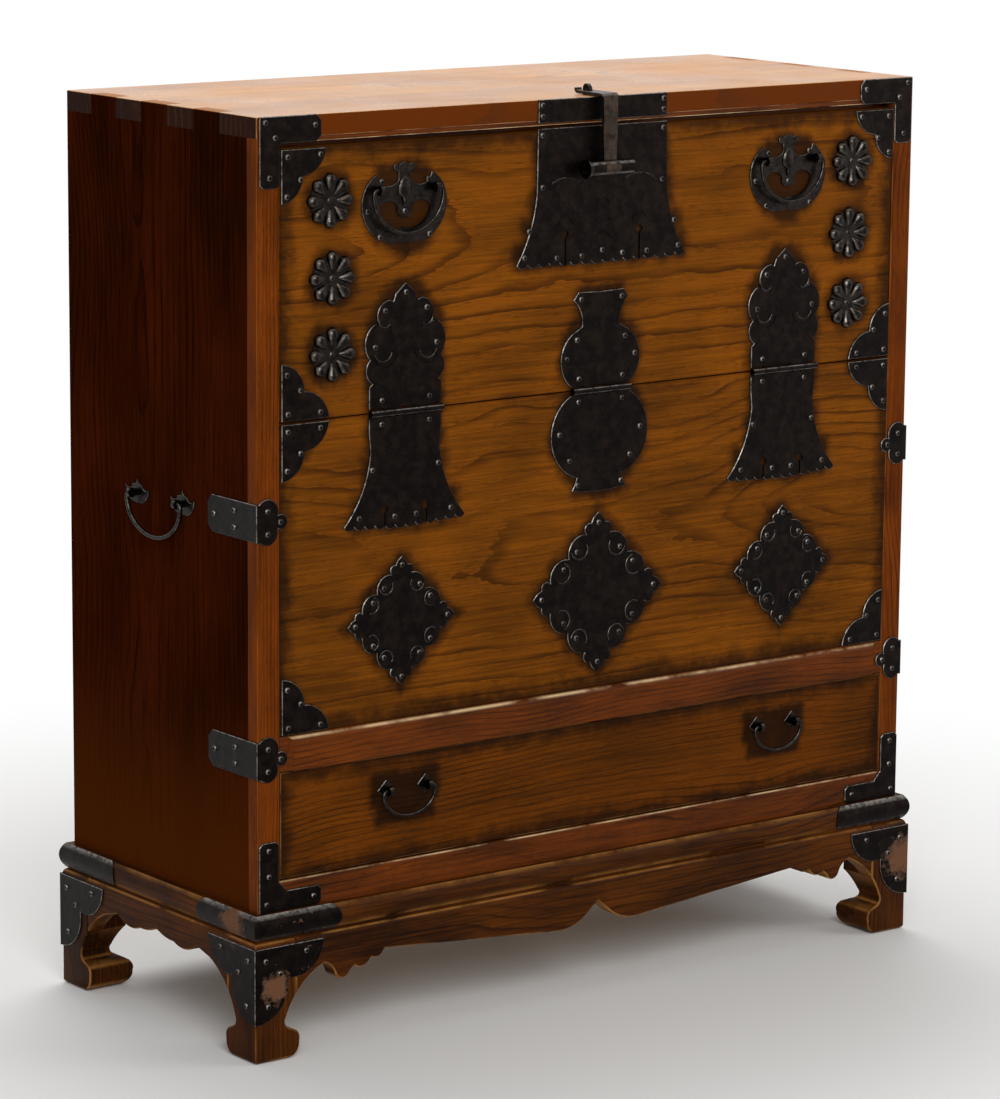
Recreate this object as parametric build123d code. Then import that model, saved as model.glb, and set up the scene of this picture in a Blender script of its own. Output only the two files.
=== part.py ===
from build123d import *
from dataclasses import dataclass
from math import sqrt
import os

# Korean bandaji chest. Millimetres; +X is the chest's right as seen from the front, the front faces -Y,
# and +Z is up. The origin is on the floor, under the middle of the case.

# ------------------------------------------------------------------------------------ driving sizes
# Case, the box that stands on the moulding
case_width = 900.0
case_depth = 365.0
case_height = 840.0
case_round = 1.6

# Boards
top_thick = 22.0
side_thick = 18.0
front_thick = 18.0
back_thick = 14.0
floor_thick = 12.0
stile_width = 28.0
finger_count = 7

# Front, from the bottom up
bottom_rail_height = 33.0
bottom_rail_round = 4.0
drawer_opening = 118.0
mid_rail_height = 38.0
mid_rail_proud = 4.0
mid_rail_round = 8.0
mid_rail_end = 10.0
mid_rail_bevel = 6.0
lower_panel_height = 332.5
split_gap = 1.5
flap_side_gap = 2.0
flap_slot = 6.0
flap_round = 1.2
top_rail_height = 6.0
top_rail_inset = 1.5
stop_lip_drop = 16.0
stop_lip_thick = 18.0
stop_lip_gap = 2.0

# Inside the case
floor_drop = 12.0
runner_width = 24.0
runner_height = 13.0

# Drawer
drawer_side_gap = 0.8
drawer_gap_below = 1.5
drawer_gap_above = 1.0
drawer_gap_behind = 1.0
drawer_play = 0.3
drawer_front_round = 2.5
drawer_side_thick = 12.0
drawer_back_thick = 10.0
drawer_side_drop = 14.0
drawer_bottom_thick = 8.0
drawer_bottom_lift = 5.0
drawer_groove = 5.0

# Stand: moulding, legs and aprons
moulding_height = 28.0
moulding_inward = 30.0
moulding_outward = 11.0
moulding_bed_out = 5.0
moulding_crown_out = 6.0
moulding_lip = 2.0
moulding_swell_height = 15.0
stand_height = 132.0
stand_proud = 10.0
stand_round = 6.0
corner_round = 2.0
post_size = 52.0
apron_thick = 22.0
heel_round = 4.0
ankle_height = 46.0
foot_reach = 60.0

# Sheet iron and its nails
iron_thick = 2.0
iron_bevel = 0.7
groove_width = 1.4
groove_depth = 0.6
nail_radius = 3.3
nail_height = 2.2

plate_margin = 1.0
moulding_iron_thick = 1.4
moulding_iron_lap = 1.0
moulding_iron_reach = 98.0
stand_iron_reach = 87.0
stand_iron_low = 43.0

# Flap hinges
knuckle_radius = 3.7
knuckle_out = 4.0
knuckle_gap = 0.3
knuckle_count = 5
leaf_gap = 4.5
pin_radius = 1.6
pin_fit = 0.05
bell_inset = 188.0
bell_half = 47.0
bell_foot = 122.0
gourd_half = 40.0
gourd_foot = 113.5
keyhole_radius = 4.5

# Hasp and its barrel
hasp_out = 13.0
hasp_drop = 42.0
hasp_thick = 3.0
hasp_half_low = 8.0
hasp_half_high = 9.5
hasp_head_half = 11.0
hasp_widening_drop = 42.0
hasp_rise = 1.0
hasp_bend = 3.0
hasp_curl_back = 30.0
barrel_length = 60.0
barrel_radius = 8.5
barrel_gap = 0.4
barrel_flare = 2.0
barrel_flare_length = 6.0
barrel_mouth_radius = 6.0
hasp_pin_radius = 3.0
hasp_pin_head_radius = 4.5
hasp_pin_head_length = 3.0
fork_half = 3.3
fork_back = 17.0
staple_back = 27.0
staple_half = 2.0
staple_foot = 5.5
staple_height = 11.5
staple_eye = 2.6
staple_eye_lift = 6.4

# Ornaments: distances in from the case's outer edges, or from a panel's own edges
diamond_gap_below = 16.5
diamond_gap_above = 22.5
side_diamond_gap_below = 36.5
side_diamond_gap_above = 34.0
side_diamond_inset = 184.0
corner_plate_size = 60.0
flap_top_corner_size = 56.0
rosette_radius = 25.0
rosette_disc_thick = 1.0
rosette_boss_radius = 3.5
rosette_boss_height = 2.0
petal_start = 7.5
petal_widest = 21.5
petal_end = 29.0
petal_half = 7.2
rosette_insets = (91.0, 94.0, 94.0)
rosette_drops = (56.5, 137.5, 217.5)
handle_inset = 186.0
handle_drop = 49.0
drawer_handle_inset = 190.5
drawer_handle_drop = 38.0
side_handle_lift = 420.0
upper_strap_drop = 102.5
lower_strap_rise = 15.0
strap_reach = 90.0
strap_half = 20.0
strap_clip = 8.0
top_plate_half = 88.0
top_plate_height = 25.0
lock_plate_rise = 3.0


@dataclass(frozen=True)
class Handle:
    """Drop handle: a bent wire whose straight ends turn in two eyes."""

    eye_half: float
    bail_half: float
    drop: float
    wire: float
    stand_off: float
    bend: float = 5.0
    eye_radius: float = 5.2
    eye_width: float = 5.0
    neck_half: float = 3.6


flap_handle = Handle(eye_half=36.0, bail_half=45.0, drop=47.0, wire=2.2, stand_off=9.5)
drawer_handle = Handle(eye_half=26.0, bail_half=34.0, drop=30.0, wire=1.9, stand_off=9.0)
side_handle = Handle(eye_half=44.0, bail_half=52.0, drop=42.0, wire=2.5, stand_off=9.5)
wire_fit = 0.1
bail_tail = 1.5

# ---------------------------------------------------------------------------------- places that follow
half_width = case_width / 2
front_y = -case_depth / 2
back_y = case_depth / 2
case_bottom = stand_height + moulding_height
case_top = case_bottom + case_height
board_under = case_top - top_thick
rail_under = board_under - top_rail_height
flap_top = rail_under - flap_slot
drawer_low = case_bottom + bottom_rail_height
drawer_high = drawer_low + drawer_opening
panel_low = drawer_high + mid_rail_height
split_z = panel_low + lower_panel_height
panel_high = split_z - split_gap / 2
flap_low = split_z + split_gap / 2
opening_half = half_width - stile_width
flap_half = opening_half - flap_side_gap
inside_half = half_width - side_thick
inside_back = back_y - back_thick
panel_back = front_y + front_thick
stand_half_x = half_width + stand_proud
stand_half_y = case_depth / 2 + stand_proud
hinge_y = front_y - knuckle_out
hasp_y = front_y - hasp_out
hasp_z = flap_top - hasp_drop

FRONT = Plane(origin=(0, front_y, 0), x_dir=(1, 0, 0), z_dir=(0, -1, 0))
LEFT = Plane(origin=(-half_width, 0, 0), x_dir=(0, -1, 0), z_dir=(-1, 0, 0))
STAND_FRONT = Plane(origin=(0, -stand_half_y, 0), x_dir=(1, 0, 0), z_dir=(0, -1, 0))
STAND_LEFT = Plane(origin=(-stand_half_x, 0, 0), x_dir=(0, -1, 0), z_dir=(-1, 0, 0))

nodes = {}
case_nails = []
flap_nails = []


# ------------------------------------------------------------------------------------------- helpers
def block(x, y, z):
    """Box between pairs of X, Y and Z limits."""
    limits = (x, y, z)
    middle = [(low + high) / 2 for low, high in limits]
    return Pos(*middle) * Box(*[high - low for low, high in limits])


def rod(x, y, z, radius):
    """Cylinder along X between two X limits."""
    return Pos((x[0] + x[1]) / 2, y, z) * Rot(0, 90, 0) * Cylinder(radius, x[1] - x[0])


def group(*pieces):
    """Compound of every solid in the pieces, kept apart."""
    return Compound([solid for piece in pieces for solid in piece.solids()])


def both_sides(piece):
    """The piece and its mirror image across the chest's middle."""
    return group(piece, mirror(piece, about=Plane.YZ))


def run(start, steps):
    """Edges from a start point: (x, y) ends a line, (mid_x, mid_y, x, y) ends an arc."""
    edges = []
    here = start
    for step in steps:
        end = step[-2:]
        edges.append(Line(here, end) if len(step) == 2 else ThreePointArc(here, step[:2], end))
        here = end
    return edges


def back_along(start, steps, sign_x=1, sign_y=1):
    """The steps travelled backwards, mirrored where a sign is -1."""
    stops = [start] + [step[-2:] for step in steps]
    back = []
    for i in reversed(range(len(steps))):
        numbers = steps[i][:-2] + tuple(stops[i])
        back.append(tuple(v * (sign_y if n % 2 else sign_x) for n, v in enumerate(numbers)))
    return back


def outline(start, steps):
    """Face inside the steps, closed by a line where they end elsewhere."""
    if steps[-1][-2:] != start:
        steps = steps + [start]
    stops = [start] + [step[-2:] for step in steps]
    turn = sum(a[0] * b[1] - b[0] * a[1] for a, b in zip(stops, stops[1:]))
    if turn < 0:
        steps = back_along(start, steps)
    return make_face(run(start, steps)).face()


def symmetric(start, steps):
    """Face whose right half is given; lines close it across the middle."""
    left = back_along(start, steps, sign_x=-1)
    end = steps[-1][-2:]
    across = [(-end[0], end[1])] if end[0] > 0 else []
    return outline(start, steps + across + left)


def scallops(start, end, count, depth):
    """Arc steps that hang in equal lobes between two points."""
    steps = []
    for i in range(count):
        middle, stop = (i + 0.5) / count, (i + 1) / count
        steps.append((
            start[0] + (end[0] - start[0]) * middle,
            start[1] + (end[1] - start[1]) * middle - depth,
            start[0] + (end[0] - start[0]) * stop,
            start[1] + (end[1] - start[1]) * stop,
        ))
    return steps


def prism(face, depth):
    """Face drawn on XY raised along +Z."""
    return extrude(face, depth, dir=(0, 0, 1))


def plate(face, plane, x=0.0, y=0.0, thick=iron_thick, bevel=iron_bevel):
    """Sheet of iron on a plane, its outer edges bevelled."""
    square = thick - bevel
    bevelled = Pos(0, 0, square) * extrude(face, bevel, dir=(0, 0, 1), taper=45)
    return plane.location * Pos(x, y, 0) * (prism(face, square) + bevelled)


def engraved(sheet, plane, lines, x=0.0, y=0.0, width=groove_width):
    """Sheet with shallow lines cut into its face."""
    for start, steps in lines:
        tool = prism(trace(run(start, steps), width), groove_depth * 2)
        sheet -= plane.location * Pos(x, y, iron_thick - groove_depth) * tool
    return sheet


def dome(radius, height):
    """Nail head: the cap of a ball, standing on XY."""
    ball = (radius**2 + height**2) / (2 * height)
    cap = block((-radius, radius), (-radius, radius), (0, height))
    return Pos(0, 0, height - ball) * Sphere(ball) & cap


nail = dome(nail_radius, nail_height)


def drive(nails, plane, points, x=0.0, y=0.0, level=iron_thick):
    """Add nail heads on a sheet's face, at points about (x, y)."""
    nails += [plane.location * Pos(x + px, y + py, level) * nail for px, py in points]


def mirrored(points):
    """The points and their mirror images across x = 0."""
    return [point for x, y in points for point in ((x, y), (-x, y))]


# ---------------------------------------------------------------------------------------------- case
def case_envelope():
    """Outer form of the case, with worn corners."""
    whole = block((-half_width, half_width), (front_y, back_y), (case_bottom, case_top))
    worn = whole.edges().filter_by(Axis.Z) + whole.edges().group_by(Axis.Z)[-1]
    return fillet(worn, case_round)


def fingers(x):
    """Blocks of the side panel that pass through the top board."""
    step = (back_y - panel_back) / finger_count
    starts = [panel_back + i * step for i in range(1, finger_count, 2)]
    return [block(x, (start, start + step), (board_under, case_top)) for start in starts]


def build_case_boards():
    envelope = case_envelope()
    left_side = (-half_width, -inside_half)
    side = block(left_side, (panel_back, back_y), (case_bottom, board_under))
    for finger in fingers(left_side):
        side += finger
    side &= envelope
    nodes["side_panel_left"] = side
    nodes["side_panel_right"] = mirror(side, about=Plane.YZ)

    top = block((-half_width, half_width), (front_y, back_y), (board_under, case_top))
    top &= envelope
    for finger in fingers(left_side) + fingers((inside_half, half_width)):
        top -= finger
    nodes["top_board"] = top

    stile = block((-half_width, -opening_half), (front_y, panel_back), (case_bottom, board_under))
    stile &= envelope
    nodes["front_stile_left"] = stile
    nodes["front_stile_right"] = mirror(stile, about=Plane.YZ)

    inside = (-inside_half, inside_half)
    nodes["back_panel"] = block(inside, (inside_back, back_y), (case_bottom, board_under))
    depth = (panel_back, inside_back)
    floor_top = panel_low - floor_drop
    nodes["compartment_floor"] = block(inside, depth, (floor_top - floor_thick, floor_top))
    bottom_low = drawer_low - runner_height - floor_thick
    nodes["bottom_board"] = block(inside, depth, (bottom_low, bottom_low + floor_thick))
    runner = block((-inside_half, runner_width - inside_half), depth, (drawer_low - runner_height, drawer_low))
    nodes["drawer_runners"] = both_sides(runner)


def rounded_rail(y_front, z, radius):
    """Rail between the stiles whose upper front edge is worn round."""
    rail = block((-opening_half, opening_half), (y_front, panel_back), z)
    edge = rail.edges().filter_by(Axis.X).group_by(Axis.Y)[0].sort_by(Axis.Z)[-1]
    return fillet(edge, radius)


def build_rails():
    nodes["bottom_rail"] = rounded_rail(front_y, (case_bottom, drawer_low), bottom_rail_round)

    # The middle rail stands proud, and is bevelled back where the irons cross onto it.
    proud_y = front_y - mid_rail_proud
    rail = rounded_rail(proud_y, (drawer_high, panel_low), mid_rail_round)
    flat_x = opening_half - mid_rail_end
    ends = outline((opening_half, front_y), [
        (flat_x, front_y), (flat_x - mid_rail_bevel, proud_y), (opening_half, proud_y)])
    cut = Pos(0, 0, drawer_high) * prism(ends, mid_rail_height)
    nodes["mid_rail"] = rail - cut - mirror(cut, about=Plane.YZ)

    strip_y = front_y + top_rail_inset
    lip_y = panel_back + stop_lip_gap
    lip_back = lip_y + stop_lip_thick
    across = (-opening_half, opening_half)
    strip = block(across, (strip_y, lip_back), (rail_under, board_under))
    nodes["top_rail"] = strip + block(across, (lip_y, lip_back), (rail_under - stop_lip_drop, rail_under))


def build_front_panels():
    panel = block((-opening_half, opening_half), (front_y, panel_back), (panel_low, panel_high))
    nodes["lower_front_panel"] = panel
    flap = block((-flap_half, flap_half), (front_y, panel_back), (flap_low, flap_top))
    front_edges = flap.edges().group_by(Axis.Y)[0]
    nodes["flap_panel"] = fillet(front_edges, flap_round)


# --------------------------------------------------------------------------------------------- stand
def moulding_run(length, profile):
    """Moulding along X with mitred ends; y = 0 is the case's face and the outside is -Y."""
    outer = moulding_outward + iron_thick + iron_thick
    bar = extrude(Plane.YZ.location * Pos(0, 0, -length) * profile, 2 * length, dir=(1, 0, 0))
    half = length / 2
    mitre = outline((half + outer, -outer), [
        (half - moulding_inward, moulding_inward),
        (moulding_inward - half, moulding_inward),
        (-half - outer, -outer)])
    return bar & Pos(0, 0, -iron_thick) * prism(mitre, moulding_height + 2 * iron_thick)


def moulding_profile():
    """Half-round front on a flat bed that the case stands on."""
    return outline((moulding_inward, 0), [
        (-moulding_bed_out, 0), (-moulding_bed_out, moulding_lip),
        (-moulding_outward, moulding_swell_height, -moulding_crown_out, moulding_height),
        (moulding_inward, moulding_height)])


def around_case(piece_of_length):
    """Four copies of a run at the case's front, left, right and back, by name."""
    lift = Pos(0, 0, stand_height)
    across, along = piece_of_length(case_width), piece_of_length(case_depth)
    return {
        "front": lift * Pos(0, front_y, 0) * across,
        "left": lift * Pos(-half_width, 0, 0) * Rot(0, 0, -90) * along,
        "right": lift * Pos(half_width, 0, 0) * Rot(0, 0, 90) * along,
        "back": lift * Pos(0, back_y, 0) * Rot(0, 0, 180) * across,
    }


def from_corner(half, steps):
    """Steps given as distances in from an outer corner, turned into distances from the middle."""
    return [tuple(half - v if i % 2 == 0 else v for i, v in enumerate(step)) for step in steps]


def stand_half_outline(half, beyond_bracket):
    """Right half of a stand side: post, hoof, bracket, then what hangs towards the middle."""
    nick = heel_round * (1 - sqrt(0.5))
    hoof = [(0, stand_height), (0, heel_round), (nick, nick, heel_round, 0), (44, 0), (53, 5, 57, 17),
            (57, 24, 54, 29), (43, 34), (39, 38.5, 40, ankle_height), (57, 75, 89, 97.5)]
    return from_corner(half, hoof) + beyond_bracket


def front_stand_face():
    half = stand_half_x
    lobes = from_corner(half, [(98.5, 91.5, 103.5, 82.5), (112.5, 76.5, 122.5, 83), (128, 88),
                               (137, 85, 150, 93.5), (160, 92.5, 168, 100.5)])
    middle = [(56, 80.3), (32, 83.5, 13, 95.5), (0, 106.5)]
    return symmetric((0, stand_height), stand_half_outline(half, lobes + middle))


def side_stand_face():
    half = stand_half_y
    lobes = [(78.5, 104), (57, 95, 33, 98.5), (17, 99.5, 0, 105)]
    return symmetric((0, stand_height), stand_half_outline(half, lobes))


def back_stand_face():
    return symmetric((0, stand_height), stand_half_outline(stand_half_x, [(0, 97.5)]))


def stand_envelope():
    """Outer form of the stand, its upper edge worn to a shoulder."""
    whole = block((-stand_half_x, stand_half_x), (-stand_half_y, stand_half_y), (0, stand_height))
    whole = fillet(whole.edges().group_by(Axis.Z)[-1], stand_round)
    return fillet(whole.edges().filter_by(Axis.Z), corner_round)


def build_stand():
    for side, piece in around_case(lambda length: moulding_run(length, moulding_profile())).items():
        nodes[f"moulding_{side}"] = piece

    envelope = stand_envelope()
    wide, deep = 2 * stand_half_x, 2 * stand_half_y
    front = Plane.XZ.location * Pos(0, 0, -wide) * prism(front_stand_face(), 2 * wide)
    back = Plane.XZ.location * Pos(0, 0, -wide) * prism(back_stand_face(), 2 * wide)
    side = Plane.YZ.location * Pos(0, 0, -wide) * prism(side_stand_face(), 2 * wide)

    corner_x, corner_y = -stand_half_x, -stand_half_y
    height = (ankle_height, stand_height)
    post = block((corner_x, corner_x + post_size), (corner_y, corner_y + post_size), height)
    foot = block((corner_x, corner_x + foot_reach), (corner_y, corner_y + foot_reach), (0, ankle_height))
    leg = (post + foot) & front & side & envelope
    nodes["leg_front_left"] = leg
    nodes["leg_front_right"] = mirror(leg, about=Plane.YZ)
    nodes["leg_back_left"] = mirror(leg, about=Plane.XZ)
    nodes["leg_back_right"] = mirror(nodes["leg_front_right"], about=Plane.XZ)

    span_x, span_y = wide / 2 - post_size, deep / 2 - post_size
    front_bar = block((-span_x, span_x), (corner_y, corner_y + apron_thick), height)
    nodes["apron_front"] = front_bar & front & envelope
    nodes["apron_back"] = mirror(front_bar, about=Plane.XZ) & back & envelope
    side_bar = block((corner_x, corner_x + apron_thick), (-span_y, span_y), height)
    nodes["apron_left"] = side_bar & side & envelope
    nodes["apron_right"] = mirror(nodes["apron_left"], about=Plane.YZ)


# -------------------------------------------------------------------------------------------- drawer
def build_drawer():
    half = opening_half - drawer_side_gap
    low, high = drawer_low + drawer_gap_below, drawer_high - drawer_gap_above
    front = block((-half, half), (front_y, panel_back), (low, high))
    front = fillet(front.edges().group_by(Axis.Y)[0], drawer_front_round)

    back_face = inside_back - drawer_gap_behind
    side_low, side_high = drawer_low + drawer_play, high - drawer_side_drop
    inner = half - drawer_side_thick
    side = block((-half, -inner), (panel_back, back_face), (side_low, side_high))
    floor_low = low + drawer_bottom_lift
    back = block((-inner, inner), (back_face - drawer_back_thick, back_face), (floor_low, side_high))
    floor = block((-inner - drawer_groove, inner + drawer_groove),
                  (panel_back - drawer_groove, back_face - drawer_back_thick),
                  (floor_low, floor_low + drawer_bottom_thick))
    nodes["drawer_front"] = front - floor
    nodes["drawer_side_left"] = side - floor
    nodes["drawer_side_right"] = mirror(side, about=Plane.YZ) - floor
    nodes["drawer_back"] = back
    nodes["drawer_bottom"] = floor


# ------------------------------------------------------------------------------------------- handles
def eye(handle, plane, x, y):
    """Eye on a neck: the bail's end turns in its hole, which runs along the plane's x."""
    half = handle.eye_width / 2
    centre = Pos(0, 0, handle.stand_off)
    ring = centre * Rot(0, 90, 0) * Cylinder(handle.eye_radius, handle.eye_width)
    neck = block((-half, half), (-handle.neck_half, handle.neck_half), (0, handle.stand_off))
    hole = centre * Rot(0, 90, 0) * Cylinder(handle.wire + wire_fit, 2 * handle.eye_width)
    return plane.location * Pos(x, y, 0) * (ring + neck - hole)


def bail(handle, plane, x, y):
    """Bent wire that hangs from its two eyes."""
    turn = handle.bail_half - handle.bend
    end = handle.eye_half - handle.eye_width / 2 - bail_tail
    bent = handle.bend * (1 - sqrt(0.5))
    right = run((end, 0), [(turn, 0), (handle.bail_half - bent, -bent, handle.bail_half, -handle.bend)])
    drop = handle.drop - handle.bend
    loop = EllipticalCenterArc((0, -handle.bend), handle.bail_half, drop, 180, arc_size=180)
    left = [mirror(edge, about=Plane.YZ) for edge in right]
    path = Wire([edge for curve in right + [loop] + left for edge in curve.edges()])
    start = Plane(origin=(end, 0, 0), z_dir=(1, 0, 0))
    wire = sweep(start * Circle(handle.wire), path=path)
    return plane.location * Pos(x, y, handle.stand_off) * wire


def flap_handle_plate(x, y):
    """Bat-shaped plate with a crescent opening under its wings; (x, y) is between the eyes."""
    wings = symmetric((6, -57), [(42, -46, 55, -17), (50.5, 2, 35, 16), (20, 3, 8, 9), (8, 18),
                                 (14, 21.5, 7, 25), (0, 28)])
    crescent = symmetric((0, -41), [(24, -36, 33, -21), (22, -13, 9, -20), (7.5, -28, 0, -30)])
    return plate(wings, FRONT, x, y) - FRONT.location * Pos(x, y, 0) * prism(crescent, iron_thick)


def leaf_face():
    """Three-pointed leaf under a side handle's eye."""
    return symmetric((3, -12), [(14, -9.5, 23, 6), (15, 3, 9, 8), (4, 9, 0, 15)])


def build_handles():
    x, y = -half_width + handle_inset, flap_top - handle_drop
    mount = flap_handle_plate(x, y)
    for side in (-1, 1):
        mount += eye(flap_handle, FRONT, x + side * flap_handle.eye_half, y)
    nodes["flap_handle_plates"] = both_sides(mount)
    nodes["flap_bail_left"] = bail(flap_handle, FRONT, x, y)
    nodes["flap_bail_right"] = mirror(nodes["flap_bail_left"], about=Plane.YZ)
    points = [(-32, -50), (32, -50), (-48, -22), (48, -22), (0, -24), (-30, 8), (30, 8)]
    drive(flap_nails, FRONT, points, x, y)
    drive(flap_nails, FRONT, points, -x, y)

    x, y = -half_width + drawer_handle_inset, drawer_high - drawer_handle_drop
    square = outline((-11, 0), [(0, -11), (11, 0), (0, 11)])
    mounts = []
    for side in (-1, 1):
        eye_x = x + side * drawer_handle.eye_half
        mounts.append(plate(square, FRONT, eye_x, y) + eye(drawer_handle, FRONT, eye_x, y))
    nodes["drawer_handle_mounts"] = both_sides(group(*mounts))
    nodes["drawer_bail_left"] = bail(drawer_handle, FRONT, x, y)
    nodes["drawer_bail_right"] = mirror(nodes["drawer_bail_left"], about=Plane.YZ)

    y = case_bottom + side_handle_lift
    mounts = []
    for side in (-1, 1):
        eye_x = side * side_handle.eye_half
        mounts.append(plate(leaf_face(), LEFT, eye_x, y) + eye(side_handle, LEFT, eye_x, y))
    nodes["side_handle_mounts"] = both_sides(group(*mounts))
    nodes["side_bail_left"] = bail(side_handle, LEFT, 0, y)
    nodes["side_bail_right"] = mirror(nodes["side_bail_left"], about=Plane.YZ)


# -------------------------------------------------------------------------------------------- hinges
def knuckles(x, half, own, up):
    """Every second length of a hinge's barrel, with the webs that join them to their leaf."""
    step = 2 * half / knuckle_count
    rise = leaf_gap + iron_thick
    z = (split_z, split_z + rise) if up else (split_z - rise, split_z)
    barrels = []
    for i in own:
        span = (x - half + i * step + knuckle_gap / 2, x - half + (i + 1) * step - knuckle_gap / 2)
        web = block(span, (front_y - iron_thick, front_y - knuckle_gap / 2), z)
        barrels.append(rod(span, hinge_y, split_z, knuckle_radius) + web)
    return barrels


def hinge_leaf(leaf, x, half, up):
    """A leaf with its knuckles, bored for the pin."""
    own = range(1, knuckle_count, 2) if up else range(0, knuckle_count, 2)
    for barrel in knuckles(x, half, own, up):
        leaf += barrel
    return leaf - rod((x - half, x + half), hinge_y, split_z, pin_radius + pin_fit)


def hinge_pin(x, half):
    return rod((x - half, x + half), hinge_y, split_z, pin_radius)


def bell_upper_face():
    return symmetric((bell_half, leaf_gap), [
        (bell_half, 28), (43, 31.5), (51, 43, 46, 57), (52, 78, 39, 95), (33, 92), (36, 107, 20, 119), (16, 117),
        (13, 125), (0, 136)])


def bell_lower_face():
    hem = (79, 4 - bell_foot)
    right = [(bell_half, -20), (45, -41), (56, -83, *hem)]
    return symmetric((bell_half, -leaf_gap), right + scallops(hem, (0, -bell_foot), 6, 4))


def gourd_upper_face():
    return symmetric((gourd_half, leaf_gap), [
        (54.5, 36, 33, 66), (26, 70), (28, 86, 38, 99.5), (31, 108), (0, 107)])


def gourd_lower_face():
    return symmetric((gourd_half, -leaf_gap), [
        (67, -46, 31, -96), (33, -102, 38, -110), (30, -111.5), (0, -gourd_foot)])


def keyhole(x, low, high):
    """Slit with a round head, cut up through a scalloped edge."""
    slit = block((x - groove_width, x + groove_width), (low, high), (-iron_thick, 2 * iron_thick))
    return slit + Pos(x, high, 0) * Cylinder(keyhole_radius, 4 * iron_thick)


def build_hinges():
    x = -half_width + bell_inset
    upper = plate(bell_upper_face(), FRONT, x, split_z)
    scrolls = [((-41, 58), [(-24, 49, -12, 62)]), ((41, 58), [(24, 49, 12, 62)]),
               ((-40, 95), [(-30, 92, -20, 90)]), ((40, 95), [(30, 92, 20, 90)]),
               ((-42, 28), [(-36, 34)]), ((42, 28), [(36, 34)])]
    upper = engraved(upper, FRONT, scrolls, x, split_z)
    lower = plate(bell_lower_face(), FRONT, x, split_z)
    for side in (-1, 1):
        lower -= FRONT.location * Pos(x, split_z, 0) * keyhole(side * 27, -bell_foot - 8, -104)
    nodes["bell_hinge_upper_leaves"] = both_sides(hinge_leaf(upper, x, bell_half, True))
    nodes["bell_hinge_lower_leaves"] = both_sides(hinge_leaf(lower, x, bell_half, False))
    upper_nails = mirrored([(31, 13), (40, 70), (27, 108)]) + [(0, 126)]
    lower_nails = mirrored([(31, -12), (43, -60), (60, -110), (14, -112)])
    for centre in (x, -x):
        drive(flap_nails, FRONT, upper_nails, centre, split_z)
        drive(case_nails, FRONT, lower_nails, centre, split_z)

    upper = plate(gourd_upper_face(), FRONT, 0, split_z)
    lower = plate(gourd_lower_face(), FRONT, 0, split_z)
    nodes["gourd_hinge_upper_leaf"] = hinge_leaf(upper, 0, gourd_half, True)
    nodes["gourd_hinge_lower_leaf"] = hinge_leaf(lower, 0, gourd_half, False)
    drive(flap_nails, FRONT, mirrored([(30, 13), (47, 36), (33, 56), (28, 100)]), 0, split_z)
    drive(case_nails, FRONT, mirrored([(30, -12), (56, -46), (42, -76), (30, -104)]), 0, split_z)
    nodes["hinge_pins"] = group(both_sides(hinge_pin(x, bell_half)), hinge_pin(0, gourd_half))


# --------------------------------------------------------------------------------------------- lock
def lock_plate_face():
    """Plate that flares to a scalloped foot; y = 0 is the flap's upper edge."""
    right = [(89.5, -66), (97.5, -104, 116, -142)]
    return symmetric((88.5, lock_plate_rise), right + scallops((116, -142), (0, -143), 8, 4))


def build_lock_plate():
    sheet = plate(lock_plate_face(), FRONT, 0, flap_top)
    for side in (-1, 1):
        sheet -= FRONT.location * Pos(0, flap_top, 0) * keyhole(side * 51, -150, -112)
    roof = [((side * 73, -63), [(side * 50, -49), (side * 28, -57)]) for side in (-1, 1)]
    moons = [((-9, z), [(0, z + 6, 9, z)]) for z in (-82, -100, -118)]
    tridents = [((side * 51 - 10, -102), [(side * 51, -94, side * 51 + 10, -102)]) for side in (-1, 1)]
    sheet = engraved(sheet, FRONT, roof + moons + tridents, 0, flap_top)

    # Outer knuckles of the hasp's barrel, held off the plate by webs.
    half, inner = barrel_length / 2, barrel_length / 6
    web_height = (hasp_z - hasp_pin_radius, hasp_z + hasp_pin_radius)
    for side in (-1, 1):
        span = sorted((side * half, side * (inner + barrel_gap)))
        sheet += rod(span, hasp_y, hasp_z, barrel_radius)
        sheet += block(span, (hasp_y, front_y - iron_thick / 2), web_height)
    mouth = Cone(barrel_radius + barrel_flare, barrel_radius, barrel_flare_length)
    sheet += Pos(-half, hasp_y, hasp_z) * Rot(0, 90, 0) * mouth
    mouth_span = (-half - barrel_flare_length, -half + barrel_flare_length)
    sheet -= rod(mouth_span, hasp_y, hasp_z, barrel_mouth_radius)
    nodes["lock_plate"] = sheet - rod((-half, half), hasp_y, hasp_z, hasp_pin_radius + pin_fit)
    nodes["hasp_pin"] = (rod((-half + barrel_flare_length, half), hasp_y, hasp_z, hasp_pin_radius)
                         + rod((half, half + hasp_pin_head_length), hasp_y, hasp_z, hasp_pin_head_radius))
    points = mirrored([(83, -4), (82, -60), (100, -106), (106, -134), (62, -137), (28, -137)]) + [(0, -132)]
    drive(flap_nails, FRONT, points, 0, flap_top)


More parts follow.
